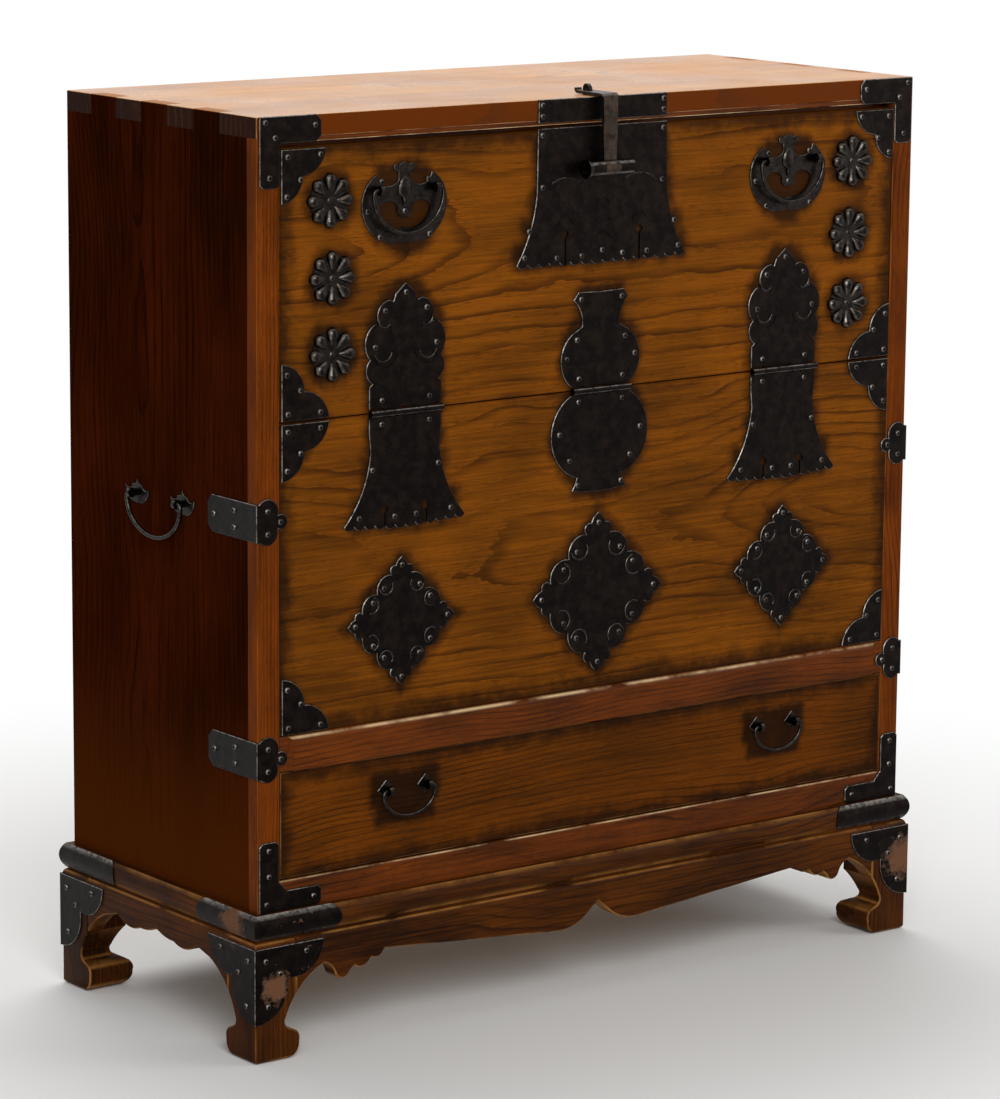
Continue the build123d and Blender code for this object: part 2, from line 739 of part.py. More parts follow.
def hasp_side_face():
    """Hasp seen from the side: up the front, back over the top board, tips curled up."""
    near, far = hasp_y - hasp_thick / 2, hasp_y + hasp_thick / 2
    under, over = case_top + hasp_rise, case_top + hasp_rise + hasp_thick
    outer = hasp_bend + hasp_thick
    slack_outer, slack_inner = outer * (1 - sqrt(0.5)), hasp_bend * (1 - sqrt(0.5))
    tip = front_y + hasp_curl_back
    return outline((near, hasp_z), [
        (near, over - outer), (near + slack_outer, over - slack_outer, near + outer, over), (tip, over),
        (tip + hasp_bend - slack_inner, over + slack_inner, tip + hasp_bend, over + hasp_bend),
        (tip + outer, over + hasp_bend), (tip + outer - slack_outer, under + slack_outer, tip, under),
        (far + hasp_bend, under), (far + slack_inner, under - slack_inner, far, under - hasp_bend),
        (far, hasp_z)])


def build_hasp():
    side = Plane.YZ.location * Pos(0, 0, -hasp_head_half) * prism(hasp_side_face(), 2 * hasp_head_half)
    head_z = case_top + hasp_rise
    above = head_z + hasp_curl_back
    seen = symmetric((0, hasp_z), [
        (hasp_half_low, hasp_z), (hasp_half_high, head_z - hasp_widening_drop),
        (hasp_half_high, head_z - hasp_bend), (hasp_head_half, head_z), (hasp_head_half, above), (0, above)])
    strap = side & (Plane.XZ.location * Pos(0, 0, -case_depth) * prism(seen, 2 * case_depth))
    fork_length = (front_y + fork_back, front_y + 2 * hasp_curl_back)
    strap -= block((-fork_half, fork_half), fork_length, (head_z, above))
    half = barrel_length / 6
    strap += rod((-half, half), hasp_y, hasp_z, barrel_radius)
    nodes["hasp"] = strap - rod((-half, half), hasp_y, hasp_z, hasp_pin_radius + pin_fit)

    y = front_y + staple_back
    arch = outline((y - staple_foot, case_top), [
        (y - staple_foot, case_top + staple_height - staple_foot),
        (y, case_top + staple_height, y + staple_foot, case_top + staple_height - staple_foot),
        (y + staple_foot, case_top)])
    staple = Plane.YZ.location * Pos(0, 0, -staple_half) * prism(arch, 2 * staple_half)
    eye_z = case_top + staple_eye_lift
    nodes["lock_eye"] = staple - rod((-2 * staple_half, 2 * staple_half), y, eye_z, staple_eye)


# ----------------------------------------------------------------------------------------- ornaments
def diamond_face(size):
    """Cloud-edged diamond, drawn 90 mm from the middle to each tip and scaled to size."""
    s = size / 90.0
    quarter = [
        (7, 84), (10, 78), (18.5, 74, 17, 66), (37, 58, 41, 41), (58, 37, 66, 17), (74, 18.5, 78, 10), (84, 7),
        (90, 0)]
    steps = quarter + back_along((0, 90), quarter, sign_y=-1)
    return symmetric((0, size), [tuple(v * s for v in step) for step in steps])


def corner_face(size):
    """Two-lobed corner plate with its square corner at (0, 0), drawn 60 mm wide and scaled to size."""
    s = size / 60.0
    steps = [(0, 60), (21, 50, 29, 30), (50, 21, 60, 0)]
    return outline((0, 0), [tuple(v * s for v in step) for step in steps])


def corner_plate(size, x, z, up):
    """Corner plate at the left of a panel, its lobes pointing up or down from z."""
    shape = plate(corner_face(size), FRONT, x, z)
    return shape if up else mirror(shape, about=Plane.XY.offset(z))


def rosette():
    """Eight drop-shaped petals on a disc, about a small bead."""
    disc = Pos(0, 0, rosette_disc_thick / 2) * Cylinder(rosette_radius, rosette_disc_thick)
    narrow = ((petal_start + petal_widest) / 2, petal_half * 0.63, petal_widest, petal_half)
    full = (petal_end - 1.8, petal_half * 0.63, petal_end, 0)
    petal = revolve(outline((petal_start, 0), [narrow, full]), axis=Axis.X, revolution_arc=180)
    flower = disc + Pos(0, 0, rosette_disc_thick) * dome(rosette_boss_radius, rosette_boss_height)
    for i in range(8):
        flower += Rot(0, 0, 45 * i) * petal
    return flower


def build_ornaments():
    # Each diamond fills the height between the panel's foot and the hinge leaf above it.
    size = (lower_panel_height - gourd_foot - diamond_gap_below - diamond_gap_above) / 2
    side_size = (lower_panel_height - bell_foot - side_diamond_gap_below - side_diamond_gap_above) / 2
    z, side_z = panel_low + diamond_gap_below + size, panel_low + side_diamond_gap_below + side_size
    x = -half_width + side_diamond_inset
    places = ((0, z, size), (x, side_z, side_size), (-x, side_z, side_size))
    nodes["diamond_plates"] = group(*[plate(diamond_face(size), FRONT, x, z) for x, z, size in places])
    for x, z, size in places:
        s = size / 90.0
        lobes = [(px * s, py * s) for px, py in ((30, 48), (48, 30), (30, -48), (48, -30), (78, 0))]
        drive(case_nails, FRONT, mirrored(lobes) + [(0, 78 * s), (0, -78 * s)], x, z)

    # Corner plates on the flap, and on the lower panel below the split.
    edge = -flap_half
    flap_foot, flap_head = flap_low + plate_margin, flap_top - plate_margin
    panel_foot, panel_head = panel_low + plate_margin, panel_high - plate_margin
    size = corner_plate_size
    upper = group(corner_plate(flap_top_corner_size, edge, flap_head, False),
                  corner_plate(size, edge, flap_foot, True))
    nodes["flap_corner_plates"] = both_sides(upper)
    lower = group(corner_plate(size, edge, panel_head, False), corner_plate(size, edge, panel_foot, True))
    nodes["lower_panel_corner_plates"] = both_sides(lower)
    points = [(6.5, 48.5), (7.5, 7.5), (48.5, 6.5), (23.5, 31.5)]
    for nails, z, turn in ((flap_nails, flap_foot, 1), (case_nails, panel_head, -1),
                           (case_nails, panel_foot, 1), (flap_nails, flap_head, -1)):
        placed = [(edge + px, turn * py) for px, py in points]
        drive(nails, FRONT, mirrored(placed), 0, z)

    flower = rosette()
    flowers = [FRONT.location * Pos(inset - half_width, flap_top - drop, 0) * flower
               for inset, drop in zip(rosette_insets, rosette_drops)]
    nodes["rosettes"] = both_sides(group(*flowers))


# --------------------------------------------------------------------------------------- case irons
def build_case_irons():
    sheet = symmetric((top_plate_half, -top_plate_height), [(top_plate_half, 0)])
    nodes["top_center_plate"] = plate(sheet, FRONT, 0, case_top)
    drive(case_nails, FRONT, mirrored([(83, -6), (83, -18)]), 0, case_top)

    # L-shaped irons at the case's four front corners; (0, 0) is the corner.
    left = -half_width
    top_l = outline((3, 0), [
        (74, 0), (80, -6), (80, -22), (74, -28), (30, -28), (28, -30), (28, -70), (24, -74), (7, -74), (3, -70)])
    low_l = outline((1, 1), [
        (76, 1), (80, 5), (80, 18), (76, 22), (36, 22), (26, 33), (26, 73), (22, 77), (5, 77), (1, 73)])
    irons = [plate(top_l, FRONT, left, case_top), plate(low_l, FRONT, left, case_bottom)]
    nodes["corner_irons"] = both_sides(group(*irons))
    for z, points in ((case_top, [(10, -6), (72, -11), (15, -63), (22, -22)]),
                      (case_bottom, [(10, 10), (70, 11), (13, 68), (13, 40)])):
        placed = [(left + px, py) for px, py in points]
        drive(case_nails, FRONT, mirrored(placed), 0, z)

    # Straps round the corners: three lobes on the stile and a tongue along the side.
    lobes = Pos(12, 11) * Circle(14) + Pos(12, -11) * Circle(13)
    lobes += Pos(29, 0) * Circle(8) + Pos(18, 0) * Rectangle(12, 16)
    lobes &= Pos(20, 0) * Rectangle(40 + 2 * iron_thick, 60)
    lobes += Pos(5 - iron_thick, 0) * Rectangle(10, 2 * strap_half)
    bend, tip = iron_thick - front_y, -front_y - strap_reach
    tongue = outline((bend, -strap_half), [
        (tip + strap_clip, -strap_half), (tip, strap_clip - strap_half), (tip, strap_half - strap_clip),
        (tip + strap_clip, strap_half), (bend, strap_half)])
    straps = []
    for z in (split_z - upper_strap_drop, drawer_high + lower_strap_rise):
        straps.append(plate(lobes, FRONT, left, z) + plate(tongue, LEFT, 0, z))
        drive(case_nails, FRONT, mirrored([(left + 12, 12), (left + 12, -12), (left + 28, 0)]), 0, z)
        side_nails = []
        drive(side_nails, LEFT, [(-front_y - 78, 0), (-front_y - 40, 9), (-front_y - 40, -9)], 0, z)
        case_nails.append(both_sides(group(*side_nails)))
    nodes["wrap_straps"] = both_sides(group(*straps))


def build_moulding_irons():
    """Thin irons bent round the moulding at its four corners."""
    lap = moulding_iron_lap
    shell = outline((lap / 2 - moulding_crown_out, moulding_height), [
        (-lap / 2 - moulding_crown_out, moulding_height + lap),
        (-moulding_outward - moulding_iron_thick, moulding_swell_height,
         -moulding_bed_out - lap, moulding_lip - lap),
        (-moulding_bed_out, moulding_lip),
        (-moulding_outward, moulding_swell_height, -moulding_crown_out, moulding_height)])
    middle = moulding_height / 2
    straight = moulding_iron_reach - middle

    def ends(length):
        keep = Pos(0, middle) * Rectangle(2 * straight, 4 * middle)
        keep += Pos(straight, middle) * Circle(middle + iron_thick)
        tool = Plane.XZ.location * Pos(-length / 2, 0, -case_depth) * prism(keep, 2 * case_depth)
        both = group(tool, mirror(tool, about=Plane.YZ))
        return moulding_run(length, shell) & both

    runs = around_case(ends)
    irons = runs["front"] + runs["left"] + runs["right"] + runs["back"]
    nodes["moulding_irons"] = group(irons)


def build_stand_irons():
    """Plates that cover each leg's head on both of its outer faces."""
    top = stand_height - stand_round

    def face(half):
        steps = [(stand_iron_reach, top), (78, 102, 41, 90), (32, 58, 0, stand_iron_low)]
        points = [tuple(v - half if i % 2 == 0 else v for i, v in enumerate(step)) for step in steps]
        start = (-half - iron_thick, top)
        return outline(start, points + [(-half - iron_thick, stand_iron_low)])

    front = plate(face(stand_half_x), STAND_FRONT)
    side = mirror(plate(face(stand_half_y), Plane.YZ), about=Plane.YZ)
    iron = front + Pos(-stand_half_x, 0, 0) * side
    pair = both_sides(iron)
    nodes["stand_irons"] = group(pair, mirror(pair, about=Plane.XZ))

    heads = []
    points = [(12, 112), (64, 116), (30, 96), (15, 62)]
    drive(heads, STAND_FRONT, [(px - stand_half_x, py) for px, py in points])
    drive(heads, STAND_LEFT, [(stand_half_y - px, py) for px, py in points])
    corner = both_sides(group(*heads))
    case_nails.append(group(corner, mirror(corner, about=Plane.XZ)))


# ---------------------------------------------------------------------------------------------- main
def main():
    build_case_boards()
    build_rails()
    build_front_panels()
    build_stand()
    build_drawer()
    build_handles()
    build_hinges()
    build_lock_plate()
    build_hasp()
    build_ornaments()
    build_case_irons()
    build_moulding_irons()
    build_stand_irons()
    nodes["case_nails"] = group(*case_nails)
    nodes["flap_nails"] = group(*flap_nails)

    os.makedirs("parts", exist_ok=True)
    for name, shape in nodes.items():
        export_step(group(shape), f"parts/{name}.step")
    print(len(nodes), "nodes")


if __name__ == "__main__":
    main()
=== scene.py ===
"""Korean bandaji chest: finishes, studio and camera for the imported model."""

import logging
import math
from abc import ABC, abstractmethod
from dataclasses import dataclass, field, replace
from enum import Enum

import bpy
from mathutils import Matrix, Vector

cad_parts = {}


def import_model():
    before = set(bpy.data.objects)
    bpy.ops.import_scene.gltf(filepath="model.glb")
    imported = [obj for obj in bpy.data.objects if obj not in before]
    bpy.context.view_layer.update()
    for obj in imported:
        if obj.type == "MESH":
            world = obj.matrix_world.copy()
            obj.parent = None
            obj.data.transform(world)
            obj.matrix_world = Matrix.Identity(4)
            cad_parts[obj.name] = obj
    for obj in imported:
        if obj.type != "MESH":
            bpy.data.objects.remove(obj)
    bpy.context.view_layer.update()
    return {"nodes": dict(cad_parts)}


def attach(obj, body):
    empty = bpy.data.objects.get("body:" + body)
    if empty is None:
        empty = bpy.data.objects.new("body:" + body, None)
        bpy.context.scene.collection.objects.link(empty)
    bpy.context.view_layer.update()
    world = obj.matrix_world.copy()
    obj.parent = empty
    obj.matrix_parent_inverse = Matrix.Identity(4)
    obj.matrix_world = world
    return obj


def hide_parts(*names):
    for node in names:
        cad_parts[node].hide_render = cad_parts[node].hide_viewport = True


LOG = logging.getLogger("bandaji")
MM = 0.001

Tree = bpy.types.NodeTree
Piece = bpy.types.Object
Socket = bpy.types.NodeSocket
Value = Socket | float | tuple

# Pattern scales on wood, in features per metre; three numbers run along, across and into the board.
WANDER_SCALE = (2.6, 6.0, 6.0)
TREMBLE_SCALE = (14.0, 60.0, 60.0)
FADING_SCALE = (5.0, 26.0, 26.0)
FIBRE_SCALE = (10.0, 420.0, 420.0)
# Pores are 0.2 mm wide; they are drawn about 0.8 mm wide so that they show.
PORE_SCALE = (75.0, 1150.0, 1150.0)
SHEEN_SCALE = 9.0
SMEAR_SCALE = 38.0
RUB_SCALE = 14.0
# The clouds of paler and deeper tone are this much shorter across the board than along it.
CLOUD_STRETCH = (1.0, 2.2, 2.2)

# Where in a ring's width the late wood starts to darken and where it is darkest.
LATE_WOOD = (0.62, 0.97)
# How far the lines tremble, in ring widths.
TREMBLE = 0.7

# Most painted shade and soot beside an iron and along an edge, and how much of its reach the smear moves it.
SHADE_AND_SOOT_BY_IRON = 0.85
SHADE_AND_SOOT_BY_EDGE = 0.8
SMEAR_SHARE = 0.6

# Pattern scales on iron, in features per metre: 420 gives pits about 2.4 mm apart.
MOTTLE_SCALE = 95.0
SCUFF_AND_GLINT_SCALE = 160.0
PIT_SCALE = 420.0
HAMMER_SCALE = 55.0
FLAKE_SCALE = 130.0

# How far a surface leans from the object's axes where wear and painted highlight start and where they are
# full.
WOOD_WEAR_AND_HIGHLIGHT_SLANT = (0.08, 0.28)
IRON_WEAR_AND_HIGHLIGHT_SLANT = (0.1, 0.27)
# How much smoother rubbed iron is than black iron.
RUBBED_POLISH = 0.14

# Specular level of a board's unpolished edges and ends, and where a face starts and ends to count as one.
EDGE_SPECULAR = 0.02
TURNED = (0.6, 0.9)
# How much smoother and rougher than its finish a board is in places.
SMOOTHER = 0.07
ROUGHER = 0.1
# Most of the foot's own tone at the foot of a side.
FOOT_TONE = 0.8

# Places on the front that several pieces share, in millimetres.
SPLIT_Z = 681.5
BELL_X = 262.0
DIAMOND_Z = 455.5
SIDE_DIAMOND_X = 266.0
SIDE_DIAMOND_SIZE = 0.78
LOCK_BROW_Z = 875.0

# Angles between faces: still one flat face, a sharp arris, and shaded as one on boards, swellings, lines.
FLAT_ANGLE = math.radians(0.5)
ARRIS_ANGLE = math.radians(38)
BOARD_ANGLE = math.radians(22)
SWELLING_ANGLE = math.radians(40)
LINE_ANGLE = math.radians(60)

# The beak below a swelling: where it starts, in half heights, and how far it is narrowed and drawn out.
BEAK_START = 0.3
BEAK_WIDTH = 0.45
BEAK_LENGTH = 1.15


# ------------------------------------------------------------------------------------ node helpers
def linear(code: str) -> tuple[float, float, float, float]:
    """Turn an sRGB hex colour into linear light.

    Args:
        code: Colour as "#rrggbb".

    Returns:
        Red, green, blue and alpha in linear light.
    """
    channels = [int(code[i:i + 2], 16) / 255 for i in (1, 3, 5)]
    lit = [c / 12.92 if c <= 0.04045 else ((c + 0.055) / 1.055) ** 2.4 for c in channels]
    return (lit[0], lit[1], lit[2], 1.0)


def add(tree: Tree, kind: str, links: dict[str | int, Value] | None = None,
        output: str | int = 0, **settings: object) -> Socket:
    """Add a node with its settings and links.

    Args:
        tree: Node tree that gets the node.
        kind: Blender's name of the node type, without "ShaderNode".
        links: Sockets to join, or values to set, by input name or place.
        output: Name or place of the output to return.
        **settings: Attributes set on the node.

    Returns:
        The chosen output socket.
    """
    node = tree.nodes.new("ShaderNode" + kind)
    for key, value in settings.items():
        setattr(node, key, value)
    for key, value in (links or {}).items():
        if isinstance(value, Socket):
            tree.links.new(value, node.inputs[key])
        else:
            node.inputs[key].default_value = value
    return node.outputs[output]


def calc(tree: Tree, operation: str, *values: Value) -> Socket:
    """Calculate with numbers.

    Args:
        tree: Node tree to add to.
        operation: Blender's name of the operation.
        *values: Its terms in order.

    Returns:
        The result.
    """
    return add(tree, "Math", dict(enumerate(values)), operation=operation)


def ramp(tree: Tree, value: Socket, span: tuple[float, float],
         to: tuple[Value, Value] = (0.0, 1.0), smooth: bool = False, clamp: bool = True) -> Socket:
    """Map one range of numbers onto another.

    Args:
        tree: Node tree to add to.
        value: Number to map.
        span: Where the ramp starts and ends.
        to: What it gives there.
        smooth: Whether it eases in and out.
        clamp: Whether it stops at its ends.

    Returns:
        The mapped number.
    """
    return add(tree, "MapRange", {"Value": value, 1: span[0], 2: span[1], 3: to[0], 4: to[1]},
               interpolation_type="SMOOTHSTEP" if smooth else "LINEAR", clamp=clamp)


def noise(tree: Tree, place: Socket, scale: float | tuple, detail: float,
          roughness: float = 0.5) -> Socket:
    """Add a cloudy pattern.

    Args:
        tree: Node tree to add to.
        place: Position that it is drawn on.
        scale: Features in each unit of that position, one number or one for each axis.
        detail: Number of finer layers.
        roughness: Strength of the finer layers.

    Returns:
        Numbers spread about one half.
    """
    if isinstance(scale, tuple):
        place = add(tree, "VectorMath", {0: place, 1: scale}, operation="MULTIPLY")
        scale = 1.0
    return add(tree, "TexNoise", {
        "Vector": place, "Scale": scale, "Detail": detail, "Roughness": roughness})


def blend(tree: Tree, amount: Socket, first: Value, second: Value) -> Socket:
    """Blend two colours.

    Args:
        tree: Node tree to add to.
        amount: Share of the second colour.
        first: Colour where the share is nothing.
        second: Colour where it is one.

    Returns:
        The blended colour.
    """
    return add(tree, "Mix", {0: amount, 6: first, 7: second}, output=2, data_type="RGBA")


def blank_material(name: str) -> tuple[bpy.types.Material, Tree]:
    """Make a material with an empty node tree.

    Args:
        name: The real material and how its surface was made.

    Returns:
        The material and its node tree.
    """
    material = bpy.data.materials.new(name)
    material.use_nodes = True
    material.node_tree.nodes.clear()
    return material, material.node_tree


# ----------------------------------------------------------------------------------------- finishes
class Grain(Enum):
    """Which object axes run across the grain, along it, and into the board."""

    ALONG_X_FACING_Y = ("Z", "X", "Y")
    ALONG_Z_FACING_Y = ("X", "Z", "Y")
    ALONG_Z_FACING_X = ("Y", "Z", "X")
    ALONG_X_FACING_Z = ("Y", "X", "Z")
    ALONG_Y_FACING_X = ("Z", "Y", "X")


class Outline(Enum):
    """Outer form of an iron that has painted shade and soot round itself."""

    BOX = "box"
    ROUND = "round"
    DIAMOND = "diamond"


@dataclass(frozen=True)
class Iron:
    """Place of an iron on the front, in millimetres, mirrored across the middle."""

    x: float
    z: float
    half_x: float
    half_z: float
    outline: Outline = Outline.BOX

    def distance(self, tree: Tree, folded: Socket) -> Socket:
        """Distance in metres from the iron's outline.

        Args:
            tree: Node tree to add to.
            folded: Object position with its X made positive.

        Returns:
            Socket that carries the distance, zero or less inside.
        """
        away = add(tree, "VectorMath", {0: folded, 1: (self.x * MM, 0, self.z * MM)}, operation="SUBTRACT")
        away = add(tree, "VectorMath", {0: away, 1: (1, 0, 1)}, operation="MULTIPLY")
        away = add(tree, "VectorMath", {0: away}, operation="ABSOLUTE")
        if self.outline is Outline.BOX:
            half = (self.half_x * MM, 0, self.half_z * MM)
            away = add(tree, "VectorMath", {0: away, 1: half}, operation="SUBTRACT")
            away = add(tree, "VectorMath", {0: away, 1: (0, 0, 0)}, operation="MAXIMUM")
            return add(tree, "VectorMath", {0: away}, output="Value", operation="LENGTH")
        if self.outline is Outline.ROUND:
            span = add(tree, "VectorMath", {0: away}, output="Value", operation="LENGTH")
            return calc(tree, "SUBTRACT", span, self.half_x * MM)
        slant = math.sqrt(0.5)
        span = add(tree, "VectorMath", {0: away, 1: (slant, 0, slant)}, output="Value",
                   operation="DOT_PRODUCT")
        return calc(tree, "SUBTRACT", span, self.half_x * slant * MM)


@dataclass(frozen=True)
class Rings:
    """Growth rings of the board: their spacing and where they close in a tongue.

    Attributes:
        spacing: Millimetres from one dark late-wood line to the next.
        heart: Millimetres across the board to the line the tongue closes round.
        tongue: Where along the board the tongue starts and ends, in millimetres.
        depth: How deep the tree's heart lies under the face at those two places.
        wobble: How far the heart wanders, in millimetres.
    """

    spacing: float
    heart: float = 0.0
    tongue: tuple[float, float] = (-450.0, 450.0)
    depth: tuple[float, float] = (70.0, 70.0)
    wobble: float = 18.0


@dataclass(frozen=True)
class PlankWood:
    """Planed hardwood, oiled and darkened by soot and painted shade, with ring-porous grain.

    The rings draw dark lines with a sharp outer side, the pores break the surface into short
    dashes, and smoke and handling have blackened the wood round irons and along edges, with painted shade
    darkening it there too.
    """

    name: str
    grain: Grain
    pale: str
    deep: str
    line: str
    rings: Rings
    soot_and_shade: str = "#150b05"
    roughness: float = 0.42
    specular: float = 0.22
    line_strength: float = 0.68
    pore_strength: float = 0.55
    tone_size: float = 150.0
    irons: tuple[Iron, ...] = ()
    shade_soot_reach: float = 17.0
    edges_x: float = 0.0
    edges_z: tuple[float, float] = (0.0, 0.0)
    edge_reach: float = 26.0
    worn_and_lit: str = ""
    worn_and_lit_amount: float = 0.0
    worn_and_lit_ends: bool = True
    bump: float = 0.25
    edge: str = ""
    end: str = ""
    foot: str = ""
    foot_reach: tuple[float, float] = (160.0, 420.0)

    def build(self) -> bpy.types.Material:
        """Make the material.

        Returns:
            The finished material.
        """
        material, tree = blank_material(self.name)
        place = add(tree, "TexCoord", output="Object")
        axes = add(tree, "SeparateXYZ", {0: place}).node.outputs
        across, along, inward = (axes[letter] for letter in self.grain.value)
        board = add(tree, "CombineXYZ", {0: along, 1: across, 2: inward})

        ring, phase = self.growth_lines(tree, board, along, across)
        pores = self.pore_dashes(tree, board, phase)
        colour = self.tones(tree, board)
        colour = blend(tree, ring, colour, linear(self.line))
        colour = blend(tree, pores, colour, linear(self.line))
        if self.foot:
            foot, head = self.foot_reach
            low = ramp(tree, along, (foot * MM, head * MM), (FOOT_TONE, 0.0), smooth=True)
            colour = blend(tree, low, colour, linear(self.foot))
        specular: Value = self.specular
        if self.edge:
            colour, specular = self.narrow_faces(tree, colour, ring)
        # Painted shade along with soot: the wood darkens towards the irons and the panel's edges.
        shade_and_grime = self.shade_and_soot_mask(tree, place, axes)
        if shade_and_grime:
            colour = blend(tree, shade_and_grime, colour, linear(self.soot_and_shade))
        # Pale on slanted arrises and rounds: wear, and a painted highlight where light would catch them.
        if self.worn_and_lit:
            rubbed_and_lit = self.worn_and_lit_mask(tree, board)
            colour = blend(tree, rubbed_and_lit, colour, linear(self.worn_and_lit))

        relief = calc(tree, "ADD", ring, pores)
        normal = add(tree, "Bump", {"Strength": self.bump, "Distance": 0.4 * MM, "Height": relief},
                     invert=True)
        sheen = noise(tree, board, SHEEN_SCALE, 3.0)
        rough = ramp(tree, sheen, (0.3, 0.7), (self.roughness - SMOOTHER, self.roughness + ROUGHER))
        surface = add(tree, "BsdfPrincipled", {
            "Base Color": colour, "Roughness": rough, "Normal": normal, "Specular IOR Level": specular})
        tree.links.new(surface, tree.nodes.new("ShaderNodeOutputMaterial").inputs[0])
        return material

    def narrow_faces(self, tree: Tree, colour: Socket, ring: Socket) -> tuple[Socket, Socket]:
        """Darken the board's edges and its end grain, which drink more stain and are never polished.

        Args:
            tree: Node tree to add to.
            colour: Colour of the board's face.
            ring: How dark the late-wood line is.

        Returns:
            The colour of every face, and its specular level.
        """
        facing = add(tree, "VectorMath", {0: add(tree, "TexCoord", output="Normal")}, operation="ABSOLUTE")
        parts = add(tree, "SeparateXYZ", {0: facing}).node.outputs
        across, along, inward = self.grain.value
        for letter, code in ((across, self.edge), (along, self.end)):
            turned = ramp(tree, parts[letter], TURNED)
            stained = blend(tree, ring, linear(code), linear(self.line))
            colour = blend(tree, turned, colour, stained)
        gloss = ramp(tree, parts[inward], TURNED, (EDGE_SPECULAR, self.specular))
        return colour, gloss

    def growth_lines(self, tree: Tree, board: Socket, along: Socket,
                     across: Socket) -> tuple[Socket, Socket]:
        """Draw the late-wood lines.

        Args:
            tree: Node tree to add to.
            board: Position along, across and into the board.
            along: Position along the grain.
            across: Position across the grain.

        Returns:
            How dark the line is, and how far the point lies from one line to the next.
        """
        rings = self.rings
        wander = noise(tree, board, WANDER_SCALE, 2.0, 0.45)
        wander = ramp(tree, wander, (0.25, 0.75), (-rings.wobble * MM, rings.wobble * MM), clamp=False)
        tongue = (rings.tongue[0] * MM, rings.tongue[1] * MM)
        deep = (rings.depth[0] * MM, rings.depth[1] * MM)
        depth = ramp(tree, along, tongue, deep, smooth=True)
        depth = calc(tree, "ADD", depth, wander)
        side = calc(tree, "SUBTRACT", across, rings.heart * MM)
        side = calc(tree, "ADD", side, wander)
        radius = add(tree, "CombineXYZ", {0: side, 1: depth})
        radius = add(tree, "VectorMath", {0: radius}, output="Value", operation="LENGTH")
        count = calc(tree, "DIVIDE", radius, rings.spacing * MM)
        tremble = noise(tree, board, TREMBLE_SCALE, 3.0)
        count = calc(tree, "MULTIPLY_ADD", tremble, TREMBLE, count)
        phase = calc(tree, "FRACT", count)
        line = ramp(tree, phase, LATE_WOOD, (0.0, self.line_strength), smooth=True)
        patch = noise(tree, board, FADING_SCALE, 2.0)
        patch = ramp(tree, patch, (0.35, 0.62), (0.15, 1.0))
        return calc(tree, "MULTIPLY", line, patch), phase

    def pore_dashes(self, tree: Tree, board: Socket, phase: Socket) -> Socket:
        """Draw the open pores, which lie thickest just past each line.

        Args:
            tree: Node tree to add to.
            board: Position along, across and into the board.
            phase: How far the point lies from one line to the next.

        Returns:
            How dark the pores make the point.
        """
        pores = noise(tree, board, PORE_SCALE, 1.0)
        pores = ramp(tree, pores, (0.52, 0.68), (0.0, self.pore_strength))
        early = ramp(tree, phase, (0.0, 0.6), (1.0, 0.3))
        return calc(tree, "MULTIPLY", pores, early)

    def tones(self, tree: Tree, board: Socket) -> Socket:
        """Blend the pale and deep tones of the board.

        Args:
            tree: Node tree to add to.
            board: Position along, across and into the board.

        Returns:
            Colour of the wood between its lines.
        """
        cloud = add(tree, "VectorMath", {0: board, 1: CLOUD_STRETCH}, operation="MULTIPLY")
        cloud = noise(tree, cloud, 1.0 / (self.tone_size * MM), 3.0)
        fibre = noise(tree, board, FIBRE_SCALE, 3.0)
        both = calc(tree, "MULTIPLY_ADD", fibre, 0.7, cloud)
        both = ramp(tree, both, (0.62, 1.08))
        return blend(tree, both, linear(self.deep), linear(self.pale))

    def shade_and_soot_mask(self, tree: Tree, place: Socket, axes: list[Socket]) -> Socket | None:
        """Find the wood round the irons and along the panel's edges, darkened by soot and by painted shade.

        Args:
            tree: Node tree to add to.
            place: Object position.
            axes: The same position's X, Y and Z.

        Returns:
            Amount of painted shade and soot, or None where the finish has none.
        """
        smear = noise(tree, place, SMEAR_SCALE, 4.0, 0.6)
        smear = ramp(tree, smear, (0.3, 0.7), (-0.5, 0.5), clamp=False)
        amounts = []
        if self.irons:
            positive = calc(tree, "ABSOLUTE", axes["X"])
            folded = add(tree, "CombineXYZ", {0: positive, 1: 0.0, 2: axes["Z"]})
            nearest = self.irons[0].distance(tree, folded)
            for iron in self.irons[1:]:
                other = iron.distance(tree, folded)
                nearest = calc(tree, "MINIMUM", nearest, other)
            reach = self.shade_soot_reach * MM
            nearest = calc(tree, "MULTIPLY_ADD", smear, reach * SMEAR_SHARE, nearest)
            amounts.append(ramp(tree, nearest, (0.0, reach), (SHADE_AND_SOOT_BY_IRON, 0.0), smooth=True))
        if self.edges_x:
            positive = calc(tree, "ABSOLUTE", axes["X"])
            side = calc(tree, "SUBTRACT", self.edges_x * MM, positive)
            foot = calc(tree, "SUBTRACT", axes["Z"], self.edges_z[0] * MM)
            head = calc(tree, "SUBTRACT", self.edges_z[1] * MM, axes["Z"])
            rim = calc(tree, "MINIMUM", foot, head)
            rim = calc(tree, "MINIMUM", rim, side)
            reach = self.edge_reach * MM
            rim = calc(tree, "MULTIPLY_ADD", smear, reach * SMEAR_SHARE, rim)
            amounts.append(ramp(tree, rim, (0.0, reach), (SHADE_AND_SOOT_BY_EDGE, 0.0), smooth=True))
        if not amounts:
            return None
        whole = amounts[0]
        for amount in amounts[1:]:
            whole = calc(tree, "MAXIMUM", whole, amount)
        facing = add(tree, "SeparateXYZ", {0: add(tree, "TexCoord", output="Normal")}).node.outputs
        outside = ramp(tree, facing["Y"], (-0.3, -0.1), (1.0, 0.0))
        return calc(tree, "MULTIPLY", whole, outside)

